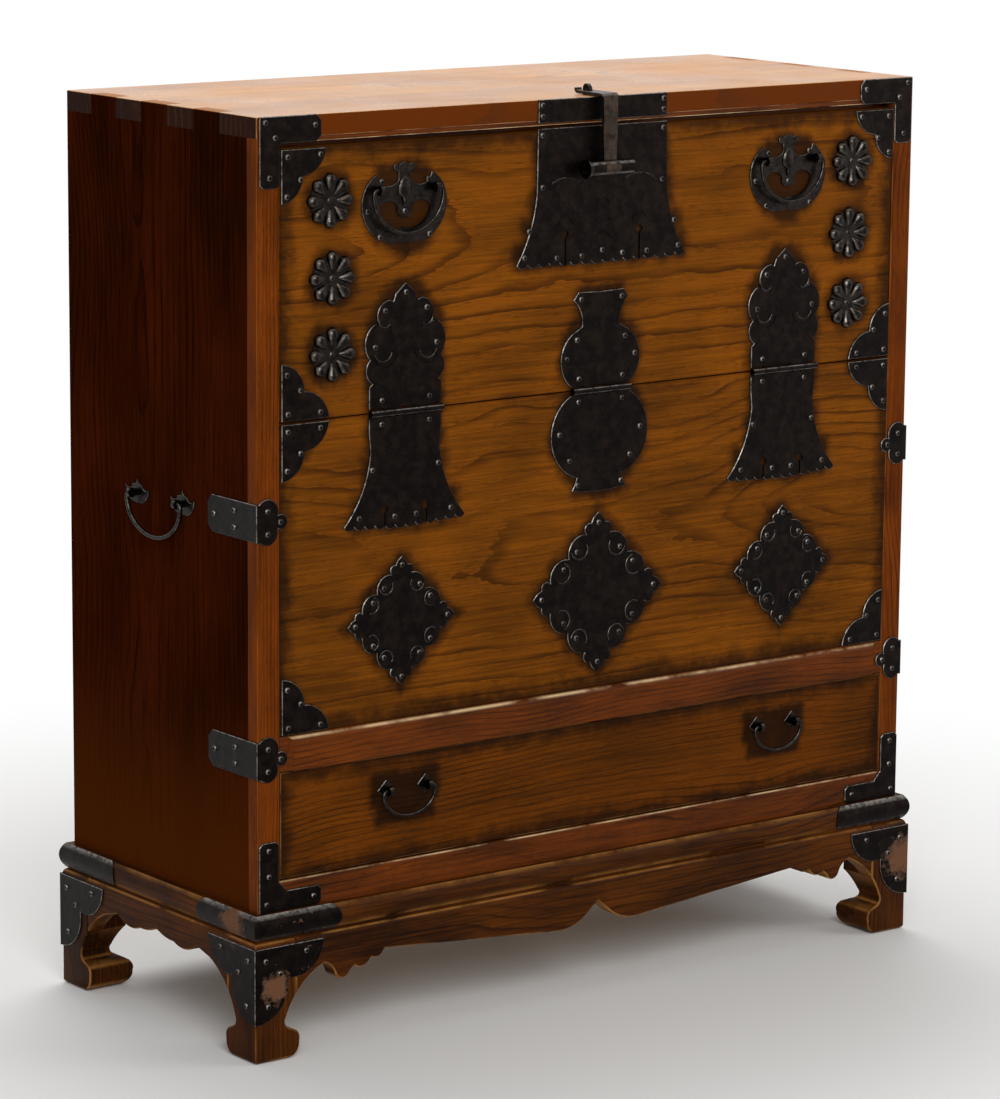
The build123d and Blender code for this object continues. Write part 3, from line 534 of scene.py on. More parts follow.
    def worn_and_lit_mask(self, tree: Tree, board: Socket) -> Socket:
        """Find the arrises and rounds that hands and feet have rubbed pale, painted pale also as a highlight.

        Args:
            tree: Node tree to add to.
            board: Position along, across and into the board.

        Returns:
            Amount of wear and painted highlight.
        """
        facing = add(tree, "TexCoord", output="Normal")
        tilt = slant(tree, facing)
        patch = noise(tree, board, RUB_SCALE, 4.0, 0.65)
        patch = ramp(tree, patch, (0.38, 0.58))
        rubbed_and_lit = ramp(tree, tilt, WOOD_WEAR_AND_HIGHLIGHT_SLANT, (0.0, self.worn_and_lit_amount))
        rubbed_and_lit = calc(tree, "MULTIPLY", rubbed_and_lit, patch)
        if self.worn_and_lit_ends:
            return rubbed_and_lit
        size = add(tree, "VectorMath", {0: facing}, operation="ABSOLUTE")
        lengthways = add(tree, "SeparateXYZ", {0: size}).node.outputs[self.grain.value[1]]
        sides = ramp(tree, lengthways, (0.2, 0.4), (1.0, 0.0))
        return calc(tree, "MULTIPLY", rubbed_and_lit, sides)


def slant(tree: Tree, facing: Socket) -> Socket:
    """Measure how far a surface turns away from the object's axes.

    Args:
        tree: Node tree to add to.
        facing: Surface normal in the object's axes.

    Returns:
        Zero on a face square to the axes, about 0.3 on a bevel.
    """
    size = add(tree, "VectorMath", {0: facing}, operation="ABSOLUTE")
    parts = add(tree, "SeparateXYZ", {0: size}).node.outputs
    most = calc(tree, "MAXIMUM", parts[0], parts[1])
    most = calc(tree, "MAXIMUM", most, parts[2])
    return calc(tree, "SUBTRACT", 1.0, most)


@dataclass(frozen=True)
class RustPatch:
    """Ball-shaped region where an iron has lost its black and rusted, in millimetres."""

    x: float
    y: float
    z: float
    radius: float


@dataclass(frozen=True)
class ForgedIron:
    """Hammered sheet iron, blackened in the fire and rubbed bright on its filed edges, with a painted
    highlight there.

    The scale is almost black and softly mottled; edges, knuckles and nail rims are painted grey as wear and
    highlight.
    """

    name: str
    black: str = "#0e0b0a"
    brown: str = "#1d1612"
    highlight_and_wear_grey: str = "#8f8a84"
    rust: str = "#5e3a1f"
    roughness: float = 0.46
    edge_wear_and_highlight: float = 0.8
    all_wear_and_highlight: float = 0.0
    pitting: float = 0.35
    rust_amount: float = 0.0
    rust_patches: tuple[RustPatch, ...] = ()

    def build(self) -> bpy.types.Material:
        """Make the material.

        Returns:
            The finished material.
        """
        material, tree = blank_material(self.name)
        place = add(tree, "TexCoord", output="Object")
        facing = add(tree, "TexCoord", output="Normal")
        mottle = noise(tree, place, MOTTLE_SCALE, 5.0, 0.62)
        stain = ramp(tree, mottle, (0.42, 0.7))
        colour = blend(tree, stain, linear(self.black), linear(self.brown))

        # Painted highlight with wear: grey on bevels, knuckles, rounds and nail rims, wherever a face leans
        # off the axes.
        tilt = slant(tree, facing)
        scuff_and_glint = noise(tree, place, SCUFF_AND_GLINT_SCALE, 3.0, 0.7)
        scuff_and_glint = ramp(tree, scuff_and_glint, (0.36, 0.62), (0.15, 1.0))
        edge = ramp(tree, tilt, IRON_WEAR_AND_HIGHLIGHT_SLANT, (self.all_wear_and_highlight, self.edge_wear_and_highlight))
        edge = calc(tree, "MULTIPLY", edge, scuff_and_glint)
        colour = blend(tree, edge, colour, linear(self.highlight_and_wear_grey))
        rough = ramp(tree, edge, (0.0, 0.8), (self.roughness, self.roughness - RUBBED_POLISH))
        metal: Value = 1.0
        if self.rust_amount:
            crust = self.rust_mask(tree, place)
            colour = blend(tree, crust, colour, linear(self.rust))
            rough = ramp(tree, crust, (0.0, 1.0), (rough, 0.95))
            metal = calc(tree, "SUBTRACT", 1.0, crust)

        pits = noise(tree, place, PIT_SCALE, 4.0, 0.6)
        hammer = noise(tree, place, HAMMER_SCALE, 1.0)
        relief = calc(tree, "MULTIPLY_ADD", hammer, 3.0, pits)
        normal = add(tree, "Bump", {"Strength": self.pitting, "Distance": 0.5 * MM, "Height": relief})
        surface = add(tree, "BsdfPrincipled", {
            "Base Color": colour, "Metallic": metal, "Roughness": rough, "Normal": normal})
        tree.links.new(surface, tree.nodes.new("ShaderNodeOutputMaterial").inputs[0])
        return material

    def rust_mask(self, tree: Tree, place: Socket) -> Socket:
        """Find where rust has eaten through the black.

        Args:
            tree: Node tree to add to.
            place: Object position.

        Returns:
            Amount of rust.
        """
        flake = noise(tree, place, FLAKE_SCALE, 5.0, 0.7)
        threshold = 0.72 - 0.2 * self.rust_amount
        crust = ramp(tree, flake, (threshold, threshold + 0.06))
        for patch in self.rust_patches:
            away = add(tree, "VectorMath", {0: place, 1: (patch.x * MM, patch.y * MM, patch.z * MM)},
                       output="Value", operation="DISTANCE")
            radius = patch.radius * MM
            away = calc(tree, "MULTIPLY_ADD", flake, -radius * 1.6, away)
            spot = ramp(tree, away, (-0.35 * radius, 0.0), (1.0, 0.0))
            crust = calc(tree, "MAXIMUM", crust, spot)
        return crust


# ------------------------------------------------------------------------------- finishes of the chest
# Outlines of the irons, round which the wood is darkened with painted shade and soot.
FLAP_IRONS = (
    Iron(0, 935, 86, 36), Iron(0, 880, 91, 24), Iron(0, 851, 101, 15), Iron(0, 833, 110, 8),
    Iron(BELL_X, 714, 44, 34), Iron(BELL_X, 757, 45, 45, Outline.ROUND),
    Iron(BELL_X, 790, 26, 26, Outline.ROUND),
    Iron(0, 717, 50, 50, Outline.ROUND), Iron(0, 770, 26, 20), Iron(264, 897, 43, 43, Outline.ROUND),
    Iron(264, 925, 28, 10), Iron(359, 909.5, 25, 25, Outline.ROUND), Iron(356, 828.5, 25, 25, Outline.ROUND),
    Iron(356, 748.5, 25, 25, Outline.ROUND), Iron(420, 966, 50, 50, Outline.DIAMOND),
    Iron(420, 682, 55, 55, Outline.DIAMOND),
)
PANEL_IRONS = (
    Iron(BELL_X, 655, 43, 30), Iron(BELL_X, 605, 47, 25), Iron(BELL_X, 575, 63, 13),
    Iron(0, 635, 60, 60, Outline.ROUND), Iron(0, 580, 30, 10),
    Iron(0, DIAMOND_Z, 88, 88, Outline.DIAMOND), Iron(SIDE_DIAMOND_X, DIAMOND_Z, 68, 68, Outline.DIAMOND),
    Iron(420, 682, 55, 55, Outline.DIAMOND), Iron(420, 349, 55, 55, Outline.DIAMOND),
)
DRAWER_IRONS = (Iron(233.5, 273, 14, 14), Iron(285.5, 273, 14, 14), Iron(259.5, 262, 34, 22))

# Zelkova, planed and oiled: amber with nested dark lines that close in a tongue.
FLAP_WOOD = PlankWood(
    name="oiled_zelkova_flap", grain=Grain.ALONG_X_FACING_Y, pale="#80460a", deep="#583007", line="#241004",
    rings=Rings(spacing=17.0, heart=862.0, tongue=(-440.0, -110.0), depth=(4.0, 72.0), wobble=16.0),
    specular=0.02, irons=FLAP_IRONS, edges_x=420.0, edges_z=(660.0, 968.0))
PANEL_WOOD = PlankWood(
    name="oiled_zelkova_panel", grain=Grain.ALONG_X_FACING_Y, pale="#7e450a", deep="#532d07", line="#241004",
    rings=Rings(spacing=15.0, heart=520.0, tongue=(130.0, 450.0), depth=(70.0, 5.0), wobble=20.0),
    specular=0.02, irons=PANEL_IRONS, edges_x=422.0, edges_z=(349.0, 700.0))
# Red pine frame members: straight, redder, with close dark lines.
STILE_WOOD = PlankWood(
    name="oiled_pine_stiles", grain=Grain.ALONG_Z_FACING_Y, pale="#763708", deep="#502306", line="#1c0a03",
    rings=Rings(spacing=4.5, heart=300.0, depth=(150.0, 150.0), wobble=8.0), tone_size=90.0,
    specular=0.02, worn_and_lit="#a8703a", worn_and_lit_amount=0.4)
# The rails' pale rounded top edges are a painted highlight as well as wear.
RAIL_WOOD = PlankWood(
    name="oiled_pine_rails", grain=Grain.ALONG_X_FACING_Y, pale="#6b3208", deep="#421e06", line="#1c0a03",
    rings=Rings(spacing=5.0, heart=100.0, depth=(150.0, 150.0), wobble=10.0), tone_size=110.0,
    worn_and_lit="#d9b98c", worn_and_lit_amount=1.0, worn_and_lit_ends=False, roughness=0.3, specular=0.05)
# The same zelkova on the drawer: browner, with close straight rings and soot and painted shade behind the
# bails.
DRAWER_WOOD = PlankWood(
    name="oiled_zelkova_drawer", grain=Grain.ALONG_X_FACING_Y, pale="#6a3607", deep="#432205", line="#1c0c03",
    rings=Rings(spacing=5.5, heart=120.0, depth=(90.0, 90.0), wobble=9.0), irons=DRAWER_IRONS, specular=0.02,
    shade_soot_reach=12.0, edges_x=421.0, edges_z=(194.0, 310.0), edge_reach=22.0, worn_and_lit="#b98a55", worn_and_lit_amount=0.6)
# Zelkova polished by hands: the palest amber, softly glossy, with dark edges and end grain.
TOP_WOOD = PlankWood(
    name="polished_zelkova_top", grain=Grain.ALONG_X_FACING_Z, pale="#cf8b34", deep="#ab6b22", line="#4d270d",
    rings=Rings(spacing=8.0, heart=40.0, depth=(90.0, 60.0), wobble=14.0), roughness=0.3, specular=0.38,
    worn_and_lit="#caa070", worn_and_lit_amount=0.5, edge="#5e2a05", end="#240c03")
# Pine under a deep stain: almost black-brown, a little warmer towards the foot, with pale end grain.
SIDE_WOOD = PlankWood(
    name="stained_pine_sides", grain=Grain.ALONG_Z_FACING_X, pale="#441805", deep="#220b02", line="#0f0401",
    rings=Rings(spacing=9.0, heart=30.0, depth=(80.0, 50.0), wobble=16.0), tone_size=260.0, roughness=0.36,
    specular=0.0, worn_and_lit="#8a5a32", worn_and_lit_amount=0.5, foot="#4c2307", edge="#2a0e03",
    end="#a8682a")
# Bare pine turned to the wall: dry, dull and greyish brown.
BACK_WOOD = PlankWood(
    name="bare_pine_back", grain=Grain.ALONG_X_FACING_Y, pale="#7a5230", deep="#573a20", line="#33200f",
    rings=Rings(spacing=9.0, heart=600.0, depth=(60.0, 90.0), wobble=20.0), roughness=0.65, specular=0.1)
# Zelkova under a dark stain that feet and brooms have rubbed through to honey on every arris, the honey also
# a painted highlight.
STAND_WOOD = PlankWood(
    name="stained_zelkova_stand", grain=Grain.ALONG_X_FACING_Y, pale="#552b07", deep="#261104",
    line="#120702", rings=Rings(spacing=6.0, heart=20.0, depth=(120.0, 120.0), wobble=10.0),
    tone_size=120.0, roughness=0.4, specular=0.04, worn_and_lit="#a9743a", worn_and_lit_amount=0.7)
STAND_SIDE_WOOD = replace(STAND_WOOD, name="stained_zelkova_stand_sides", grain=Grain.ALONG_Y_FACING_X)
LEG_WOOD = replace(STAND_WOOD, name="stained_zelkova_legs", grain=Grain.ALONG_Z_FACING_Y)
# Bare paulownia inside: pale, matte and quietly figured.
INNER_WOOD = PlankWood(
    name="bare_paulownia_inside", grain=Grain.ALONG_X_FACING_Z, pale="#b08a5c", deep="#8a6437",
    line="#5c3f20", rings=Rings(spacing=8.0, heart=0.0, depth=(100.0, 80.0)), roughness=0.7, specular=0.15)

# Sheet blackened in the fire: near black, with painted highlight and wear only where its edges were filed.
PLATE_IRON = ForgedIron(name="fire_blackened_sheet_iron")
# Bars kept smooth by hands: black with a painted sheen along their rounds.
HANDLE_IRON = ForgedIron(name="handled_wrought_iron", highlight_and_wear_grey="#77716a", all_wear_and_highlight=0.05, edge_wear_and_highlight=0.5,
                         roughness=0.38)
# Sheet hammered up from behind: the high petals are rubbed and painted with a dull grey highlight.
ROSETTE_IRON = ForgedIron(name="embossed_rubbed_iron", highlight_and_wear_grey="#726b64", all_wear_and_highlight=0.06, edge_wear_and_highlight=0.75,
                          roughness=0.34)
# Thick strap left rough from the hammer: brown-black and deeply pitted.
HASP_IRON = ForgedIron(name="pitted_strap_iron", black="#1a1411", brown="#31251b", highlight_and_wear_grey="#7d7166",
                       all_wear_and_highlight=0.1, edge_wear_and_highlight=0.75, pitting=0.6)
# Sheet low down where damp has reached it: black with flakes and patches of dry brown rust.
CORNER_IRON = ForgedIron(
    name="rusted_sheet_iron", rust_amount=0.35,
    rust_patches=(
        RustPatch(-434, -195, 82, 24), RustPatch(452, -195, 88, 34), RustPatch(-455, -150, 146, 30)))


# --------------------------------------------------------------------------------------- sub-assemblies
@dataclass
class Workshop:
    """Keeps one material for each finish and puts it on pieces."""

    nodes: dict[str, Piece]
    made: dict[str, bpy.types.Material] = field(default_factory=dict)

    def material(self, finish: PlankWood | ForgedIron) -> bpy.types.Material:
        """Give a finish's material, made the first time it is asked for.

        Args:
            finish: The wanted finish.

        Returns:
            Its material.
        """
        if finish.name not in self.made:
            self.made[finish.name] = finish.build()
        return self.made[finish.name]

    def dress(self, finish: PlankWood | ForgedIron, *names: str) -> None:
        """Put one finish on some CAD nodes.

        Args:
            finish: Finish that the nodes share.
            *names: CAD node names.
        """
        for name in names:
            for slot in self.nodes[name].material_slots:
                slot.material = self.material(finish)
            LOG.info("%s dressed in %s", name, finish.name)

    def finish_piece(self, piece: Piece, finish: PlankWood | ForgedIron, body: str) -> None:
        """Give a new piece its material and body.

        Args:
            piece: The finished piece.
            finish: Its finish.
            body: Body it rides on.
        """
        piece.data.materials.clear()
        piece.data.materials.append(self.material(finish))
        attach(piece, body)
        LOG.info("%s built on %s", piece.name, body)


def edit_only(piece: Piece) -> None:
    """Open one piece in edit mode with all of it selected.

    Args:
        piece: The piece to edit.
    """
    bpy.ops.object.select_all(action="DESELECT")
    bpy.context.view_layer.objects.active = piece
    piece.select_set(True)
    bpy.ops.object.mode_set(mode="EDIT")
    bpy.ops.mesh.select_all(action="SELECT")


@dataclass(frozen=True)
class PlanedBoard:
    """Copy of a sharp board whose arrises are planed off, so that they wear pale and carry a painted
    highlight.

    Attributes:
        node: CAD node that it stands for.
        body: Body it rides on.
        slot: The record's slot; not used.
        finish: Its wood.
        chamfer: Millimetres taken off each arris.
    """

    node: str
    body: str
    slot: str
    finish: PlankWood
    chamfer: float

    def build(self, shop: Workshop) -> Piece:
        """Make the board.

        Args:
            shop: Holds the CAD nodes and the materials.

        Returns:
            The new board.
        """
        piece = bpy.data.objects.new("planed_" + self.node, shop.nodes[self.node].data.copy())
        bpy.context.scene.collection.objects.link(piece)
        edit_only(piece)
        bpy.ops.mesh.remove_doubles(threshold=0.01 * MM)
        bpy.ops.mesh.dissolve_limited(angle_limit=FLAT_ANGLE)
        bpy.ops.object.mode_set(mode="OBJECT")
        bevel = piece.modifiers.new("planed_arris", "BEVEL")
        bevel.width = self.chamfer * MM
        bevel.segments = 1
        bevel.limit_method = "ANGLE"
        bevel.angle_limit = ARRIS_ANGLE
        bpy.ops.object.modifier_apply(modifier=bevel.name)
        bpy.ops.object.shade_smooth_by_angle(angle=BOARD_ANGLE)
        shop.finish_piece(piece, self.finish, self.body)
        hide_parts(self.node)
        return piece


@dataclass(frozen=True)
class EmbossedBody:
    """Swelling hammered up in the middle of a flap handle's plate, drawn in to a beak below.

    Attributes:
        x: Place across the chest, in millimetres.
        z: Height of its middle.
        half_x: Half its width.
        half_z: Half its height.
        rise: How far it stands off the sheet.
        sheet_y: Face of the sheet.
    """

    x: float
    z: float = 914.0
    half_x: float = 9.0
    half_z: float = 15.0
    rise: float = 4.0
    sheet_y: float = -184.5

    def build(self, shop: Workshop) -> Piece:
        """Make the swelling.

        Args:
            shop: Holds the materials.

        Returns:
            The new piece.
        """
        centre = Vector((self.x, self.sheet_y, self.z)) * MM
        bpy.ops.object.select_all(action="DESELECT")
        bpy.ops.mesh.primitive_uv_sphere_add(segments=24, ring_count=16, radius=self.half_z * MM,
                                             location=centre)
        piece = bpy.context.object
        piece.name = "handle_boss_left" if self.x < 0 else "handle_boss_right"
        bpy.ops.object.transform_apply(location=True, rotation=False, scale=False)
        edit_only(piece)
        bpy.ops.transform.resize(value=(self.half_x / self.half_z, self.rise / self.half_z, 1.0),
                                 center_override=centre)
        bpy.ops.mesh.bisect(plane_co=centre, plane_no=(0, 1, 0), clear_outer=True, use_fill=True)
        bpy.ops.object.mode_set(mode="OBJECT")
        for vertex in piece.data.vertices:
            vertex.select = vertex.co.z < centre.z - BEAK_START * self.half_z * MM
        bpy.ops.object.mode_set(mode="EDIT")
        bpy.ops.transform.resize(value=(BEAK_WIDTH, 1.0, BEAK_LENGTH), center_override=centre)
        bpy.ops.object.mode_set(mode="OBJECT")
        bpy.ops.object.shade_smooth_by_angle(angle=SWELLING_ANGLE)
        shop.finish_piece(piece, HANDLE_IRON, "flap")
        return piece


@dataclass(frozen=True)
class Curl:
    """Arc of a raised line on the front, in millimetres and degrees.

    Attributes:
        x: Centre across the chest.
        z: Height of the centre.
        radius: Radius of the arc.
        start: Where it starts, counterclockwise from the chest's right.
        sweep: How far it runs counterclockwise.
    """

    x: float
    z: float
    radius: float
    start: float
    sweep: float

    def across(self) -> "Curl":
        """Mirror the arc across the chest's middle."""
        return Curl(-self.x, self.z, self.radius, 180 - self.start - self.sweep, self.sweep)

    def below(self) -> "Curl":
        """Mirror the arc across the height zero."""
        return Curl(self.x, -self.z, self.radius, -self.start - self.sweep, self.sweep)

    def at(self, x: float, z: float, size: float = 1.0) -> "Curl":
        """Scale the arc and move it.

        Args:
            x: Millimetres across.
            z: Millimetres up.
            size: Factor on the arc's own numbers.

        Returns:
            The placed arc.
        """
        return Curl(self.x * size + x, self.z * size + z, self.radius * size, self.start, self.sweep)


@dataclass(frozen=True)
class RaisedLines:
    """Half-round lines chased up from a plate's face.

    Attributes:
        name: Name of the piece.
        body: Body it rides on.
        curls: The arcs that it draws.
        face_y: Face of the plate, in millimetres.
        half_wide: Half the width of a line.
        turn: Degrees of arc between two sections.
    """

    name: str
    body: str
    curls: tuple[Curl, ...]
    face_y: float = -184.5
    half_wide: float = 1.0
    turn: float = 12.0

    def build(self, shop: Workshop) -> Piece:
        """Spin a small ring along each arc and join the lines.

        Args:
            shop: Holds the materials.

        Returns:
            The new piece.
        """
        lines = [self.line(curl) for curl in self.curls]
        bpy.ops.object.select_all(action="DESELECT")
        for line in lines:
            line.select_set(True)
        bpy.context.view_layer.objects.active = lines[0]
        bpy.ops.object.join()
        piece = lines[0]
        piece.name = self.name
        bpy.ops.object.shade_smooth_by_angle(angle=LINE_ANGLE)
        shop.finish_piece(piece, PLATE_IRON, self.body)
        return piece

    def line(self, curl: Curl) -> Piece:
        """Make one arc.

        Args:
            curl: The arc.

        Returns:
            Its closed half-sunk rod.
        """
        centre = Vector((curl.x, self.face_y, curl.z)) * MM
        begin = math.radians(curl.start)
        place = centre + Vector((math.cos(begin), 0, math.sin(begin))) * curl.radius * MM
        bpy.ops.object.select_all(action="DESELECT")
        bpy.ops.mesh.primitive_circle_add(vertices=8, radius=self.half_wide * MM, location=place,
                                          rotation=(0, -begin, 0))
        rod = bpy.context.object
        bpy.ops.object.transform_apply(location=True, rotation=True, scale=False)
        edit_only(rod)
        # Blender turns this spin counterclockwise as seen from the front.
        bpy.ops.mesh.spin(steps=round(curl.sweep / self.turn), angle=math.radians(curl.sweep),
                          center=centre, axis=(0, 1, 0))
        bpy.ops.mesh.select_all(action="SELECT")
        bpy.ops.mesh.fill_holes(sides=8)
        bpy.ops.mesh.normals_make_consistent(inside=False)
        bpy.ops.object.mode_set(mode="OBJECT")
        return rod


def both_hands(*curls: Curl) -> tuple[Curl, ...]:
    """Give the arcs and their mirror images across the middle."""
    return curls + tuple(curl.across() for curl in curls)


# Arcs about a hinge leaf's middle and about a diamond plate's middle.
BELL_CURLS = both_hands(Curl(29, 65, 11, -170, 160), Curl(27, 98, 8, -140, 150))
DIAMOND_LOBES = both_hands(Curl(26, 50, 11, 150, 200), Curl(50, 26, 11, 100, 200))
DIAMOND_CURLS = DIAMOND_LOBES + tuple(curl.below() for curl in DIAMOND_LOBES)
LOCK_BROWS = both_hands(Curl(50, LOCK_BROW_Z, 40, 60, 60))


class SubAssembly(ABC):
    """Part of the chest that is built and dressed as one."""

    @abstractmethod
    def build(self, shop: Workshop) -> None:
        """Make the new pieces.

        Args:
            shop: Holds the CAD nodes and the materials.
        """

    @abstractmethod
    def dress(self, shop: Workshop) -> None:
        """Give the CAD nodes their finishes.

        Args:
            shop: Holds the CAD nodes and the materials.
        """


@dataclass(frozen=True)
class Case(SubAssembly):
    """Boards, rails and irons that stand still.

    Attributes:
        chamfer: Millimetres planed off the boards' arrises.
    """

    chamfer: float = 0.8

    def build(self, shop: Workshop) -> None:
        """Plane the boards' arrises and chase the diamonds' scrolls."""
        for node, slot, finish in (
                ("lower_front_panel", "panel_wood", PANEL_WOOD),
                ("front_stile_left", "frame_wood", STILE_WOOD),
                ("front_stile_right", "frame_wood", STILE_WOOD),
                ("top_rail", "frame_wood", RAIL_WOOD)):
            PlanedBoard(node, "case", slot, finish, self.chamfer).build(shop)
        sizes = ((0, 1.0), (-SIDE_DIAMOND_X, SIDE_DIAMOND_SIZE), (SIDE_DIAMOND_X, SIDE_DIAMOND_SIZE))
        curls = tuple(curl.at(x, DIAMOND_Z, size) for x, size in sizes for curl in DIAMOND_CURLS)
        RaisedLines("diamond_scrolls", "case", curls).build(shop)

    def dress(self, shop: Workshop) -> None:
        """Dress the boards, the plates and the handles' eyes."""
        shop.dress(RAIL_WOOD, "mid_rail", "bottom_rail")
        shop.dress(TOP_WOOD, "top_board")
        shop.dress(SIDE_WOOD, "side_panel_left", "side_panel_right")
        shop.dress(BACK_WOOD, "back_panel")
        shop.dress(INNER_WOOD, "compartment_floor", "bottom_board", "drawer_runners")
        shop.dress(PLATE_IRON, "top_center_plate", "corner_irons", "wrap_straps", "lower_panel_corner_plates",
                   "diamond_plates", "bell_hinge_lower_leaves", "gourd_hinge_lower_leaf", "hinge_pins",
                   "case_nails")
        shop.dress(HANDLE_IRON, "side_handle_mounts", "side_bail_left", "side_bail_right", "lock_eye")


@dataclass(frozen=True)
class Stand(SubAssembly):
    """Moulded frame on four hoofed legs, with scalloped aprons between them.

    Attributes:
        chamfer: Millimetres worn off the arrises.
    """

    chamfer: float = 1.6

    def build(self, shop: Workshop) -> None:
        """Wear the arrises of the aprons and legs."""
        for side in ("front", "back"):
            PlanedBoard(f"apron_{side}", "case", "stand_wood", STAND_WOOD, self.chamfer).build(shop)
            for hand in ("left", "right"):
                PlanedBoard(f"leg_{side}_{hand}", "case", "stand_wood", LEG_WOOD, self.chamfer).build(shop)
        for side in ("left", "right"):
            PlanedBoard(f"apron_{side}", "case", "stand_wood", STAND_SIDE_WOOD, self.chamfer).build(shop)

    def dress(self, shop: Workshop) -> None:
        """Dress the moulding and the irons."""
        shop.dress(STAND_WOOD, "moulding_front", "moulding_back")
        shop.dress(STAND_SIDE_WOOD, "moulding_left", "moulding_right")
        shop.dress(CORNER_IRON, "moulding_irons", "stand_irons")


@dataclass(frozen=True)
class Flap(SubAssembly):
    """Drop front with its lock plate, hasp, hinges, rosettes and handles.

    Attributes:
        boss_inset: Millimetres from the chest's middle to each embossed swelling.
    """

    boss_inset: float = 264.0

    def build(self, shop: Workshop) -> None:
        """Emboss the two handle plates and chase the hinges and the lock plate."""
        for sign in (-1, 1):
            EmbossedBody(sign * self.boss_inset).build(shop)
        curls = tuple(curl.at(x, SPLIT_Z) for x in (-BELL_X, BELL_X) for curl in BELL_CURLS)
        RaisedLines("bell_scrolls", "flap", curls).build(shop)
        RaisedLines("lock_plate_brows", "flap", LOCK_BROWS).build(shop)

    def dress(self, shop: Workshop) -> None:
        """Dress the flap's wood and irons."""
        shop.dress(FLAP_WOOD, "flap_panel")
        shop.dress(PLATE_IRON, "flap_corner_plates", "flap_nails", "lock_plate", "bell_hinge_upper_leaves",
                   "gourd_hinge_upper_leaf")
        shop.dress(HANDLE_IRON, "flap_handle_plates", "flap_bail_left", "flap_bail_right")
        shop.dress(ROSETTE_IRON, "rosettes")
        shop.dress(HASP_IRON, "hasp", "hasp_pin")


@dataclass(frozen=True)
class Drawer(SubAssembly):
    """Full-width drawer under the fixed panel.

    Attributes:
        chamfer: Millimetres planed off the box's arrises.
    """

    chamfer: float = 0.8

    def build(self, shop: Workshop) -> None:
        """Plane the arrises of the drawer's box."""
        for node in ("drawer_side_left", "drawer_side_right", "drawer_back"):
            PlanedBoard(node, "drawer", "inner_wood", INNER_WOOD, self.chamfer).build(shop)

    def dress(self, shop: Workshop) -> None:
        """Dress the front, the floor and the handles."""
        shop.dress(DRAWER_WOOD, "drawer_front")
        shop.dress(INNER_WOOD, "drawer_bottom")
        shop.dress(HANDLE_IRON, "drawer_handle_mounts", "drawer_bail_left", "drawer_bail_right")


# ---------------------------------------------------------------------------------------------- studio
@dataclass(frozen=True)
class Lamp:
    """Soft square lamp.

    Attributes:
        name: Name of the lamp.
        place: Where it hangs, in metres.
        target: What it points at.
        size: Side of its face in metres.
        watts: Its power.
    """

    name: str
    place: tuple[float, float, float]
    target: tuple[float, float, float]
    size: float
    watts: float

    def build(self) -> None:
        """Hang the lamp."""
        data = bpy.data.lights.new(self.name, "AREA")
        data.shape = "SQUARE"
        data.size = self.size
        data.energy = self.watts
        lamp = bpy.data.objects.new(self.name, data)
        aim = Vector(self.target) - Vector(self.place)
        turn = aim.to_track_quat("-Z", "Y").to_matrix().to_4x4()
        lamp.matrix_world = Matrix.Translation(self.place) @ turn
        bpy.context.scene.collection.objects.link(lamp)


LAMPS = (
    Lamp("key", place=(-2.2, -3.6, 2.6), target=(0, -0.2, 0.55), size=2.4, watts=105),
    Lamp("fill", place=(3.2, -3.0, 1.6), target=(0.1, -0.2, 0.5), size=2.0, watts=38),
    Lamp("over", place=(0.6, 1.2, 3.2), target=(0, 0, 1.0), size=2.2, watts=60),
)


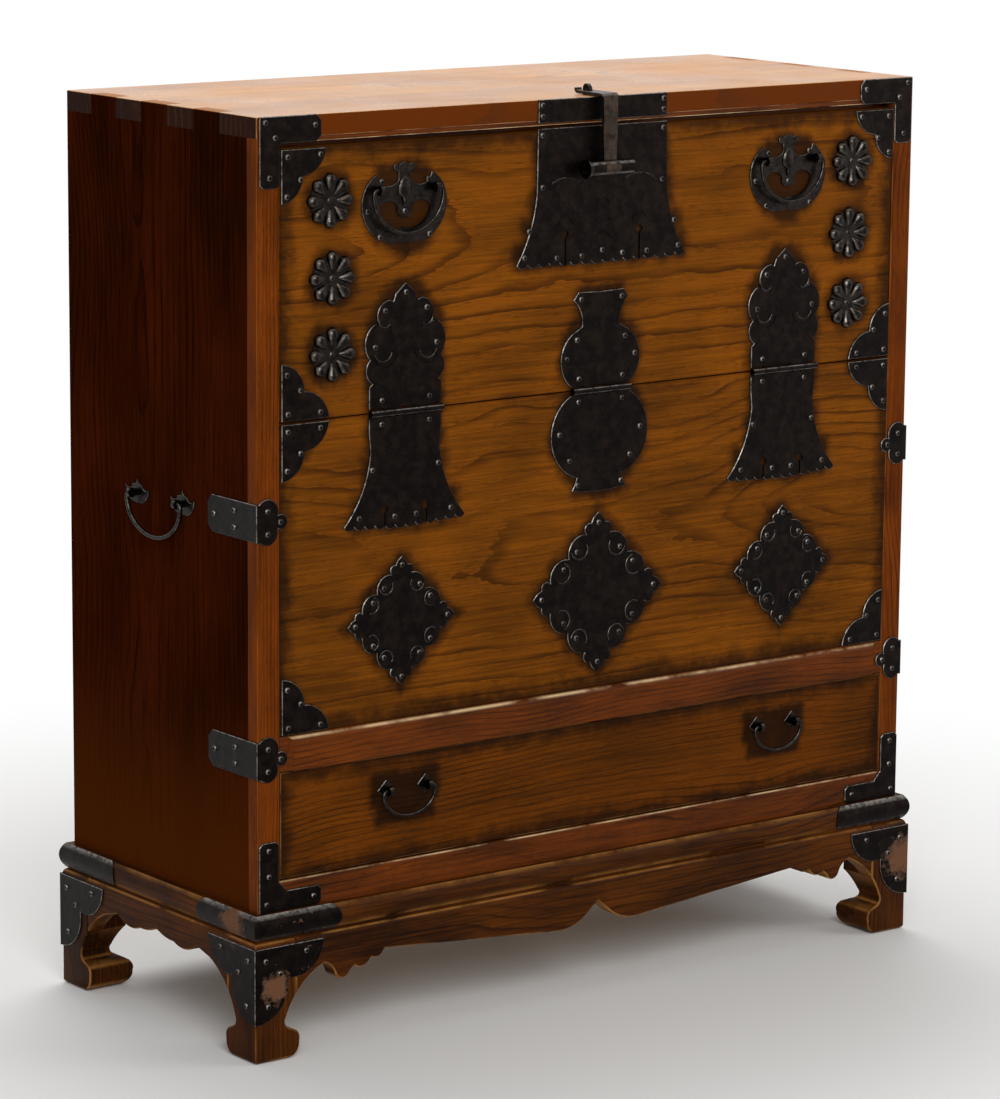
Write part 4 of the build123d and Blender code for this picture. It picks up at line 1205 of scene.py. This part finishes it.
@dataclass
class Studio:
    """Pale floor, white surroundings and soft lamps.

    Attributes:
        floor_reach: How far the floor runs from the chest, in metres.
        near: Where the floor starts to turn plain white.
        far: Where it is all plain white.
        sky_light: Strength of the light that the white surroundings give.
    """

    floor_reach: float = 60.0
    near: float = 0.5
    far: float = 1.5
    sky_light: float = 0.32

    def build(self) -> None:
        """Make the floor, the world and the lamps."""
        self.build_floor()
        self.build_world()
        for lamp in LAMPS:
            lamp.build()
        LOG.info("studio lit")

    def build_floor(self) -> None:
        """Lay the floor, white to the camera far off and shaded near the chest."""
        bpy.ops.object.select_all(action="DESELECT")
        bpy.ops.mesh.primitive_circle_add(vertices=96, radius=self.floor_reach, fill_type="NGON",
                                          location=(0, 0, -0.0005))
        floor = bpy.context.object
        floor.name = "studio_floor"
        material, tree = blank_material("white_paper_floor")
        place = add(tree, "TexCoord", output="Object")
        away = add(tree, "VectorMath", {0: place}, output="Value", operation="LENGTH")
        fade = ramp(tree, away, (self.near, self.far), smooth=True)
        paper = add(tree, "BsdfDiffuse", {"Color": linear("#f2f1ef")})
        white = add(tree, "Emission", {"Color": (1, 1, 1, 1), "Strength": 1.0})
        seen = calc(tree, "MULTIPLY", fade, seen_rays(tree))
        surface = add(tree, "MixShader", {0: seen, 1: paper, 2: white})
        tree.links.new(surface, tree.nodes.new("ShaderNodeOutputMaterial").inputs[0])
        floor.data.materials.append(material)

    def build_world(self) -> None:
        """Surround the chest with white that gives only a soft light."""
        world = bpy.data.worlds.new("white_surroundings")
        world.use_nodes = True
        tree = world.node_tree
        tree.nodes.clear()
        dim = add(tree, "Background", {"Color": (1, 1, 1, 1), "Strength": self.sky_light})
        white = add(tree, "Background", {"Color": (1, 1, 1, 1), "Strength": 1.0})
        sky = add(tree, "MixShader", {0: seen_rays(tree), 1: dim, 2: white})
        tree.links.new(sky, tree.nodes.new("ShaderNodeOutputWorld").inputs[0])
        bpy.context.scene.world = world


def seen_rays(tree: Tree) -> Socket:
    """Tell the rays that show a surface from those that only light others.

    Args:
        tree: Node tree to add to.

    Returns:
        One for camera, glossy and transmission rays.
    """
    path = add(tree, "LightPath").node.outputs
    seen = calc(tree, "MAXIMUM", path["Is Camera Ray"], path["Is Glossy Ray"])
    return calc(tree, "MAXIMUM", seen, path["Is Transmission Ray"])


@dataclass
class Camera:
    """Long-lens camera at the left front, a little above the chest's top.

    Attributes:
        place: Where it stands, in metres.
        yaw: Turn of its aim from +Y towards +X, in degrees.
        pitch: How far it looks down.
        roll: How far it leans.
        lens: Focal length for a 36 mm tall sensor.
    """

    place: tuple[float, float, float] = (-3.0177, -3.9769, 1.4425)
    yaw: float = 37.235
    pitch: float = 10.983
    roll: float = 0.477
    lens: float = 147.4

    def build(self) -> None:
        """Stand the camera in the scene."""
        data = bpy.data.cameras.new("camera")
        data.sensor_fit = "VERTICAL"
        data.sensor_height = 36.0
        data.lens = self.lens
        data.clip_end = 200.0
        camera = bpy.data.objects.new("camera", data)
        turn = Matrix.Rotation(math.radians(-self.yaw), 4, "Z")
        tip = Matrix.Rotation(math.radians(90 - self.pitch), 4, "X")
        lean = Matrix.Rotation(math.radians(self.roll), 4, "Z")
        camera.matrix_world = Matrix.Translation(self.place) @ turn @ tip @ lean
        bpy.context.scene.collection.objects.link(camera)
        bpy.context.scene.camera = camera
        LOG.info("camera placed")


def main() -> None:
    """Dress the chest and set up its studio."""
    logging.basicConfig(level=logging.INFO, format="%(message)s")
    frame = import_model()
    bpy.context.scene.view_settings.view_transform = "Standard"
    Camera().build()
    Studio().build()
    shop = Workshop(frame["nodes"])
    for part in (Case(), Stand(), Flap(), Drawer()):
        part.build(shop)
        part.dress(shop)
        LOG.info("%s done", type(part).__name__)


if __name__ == "__main__":
    main()
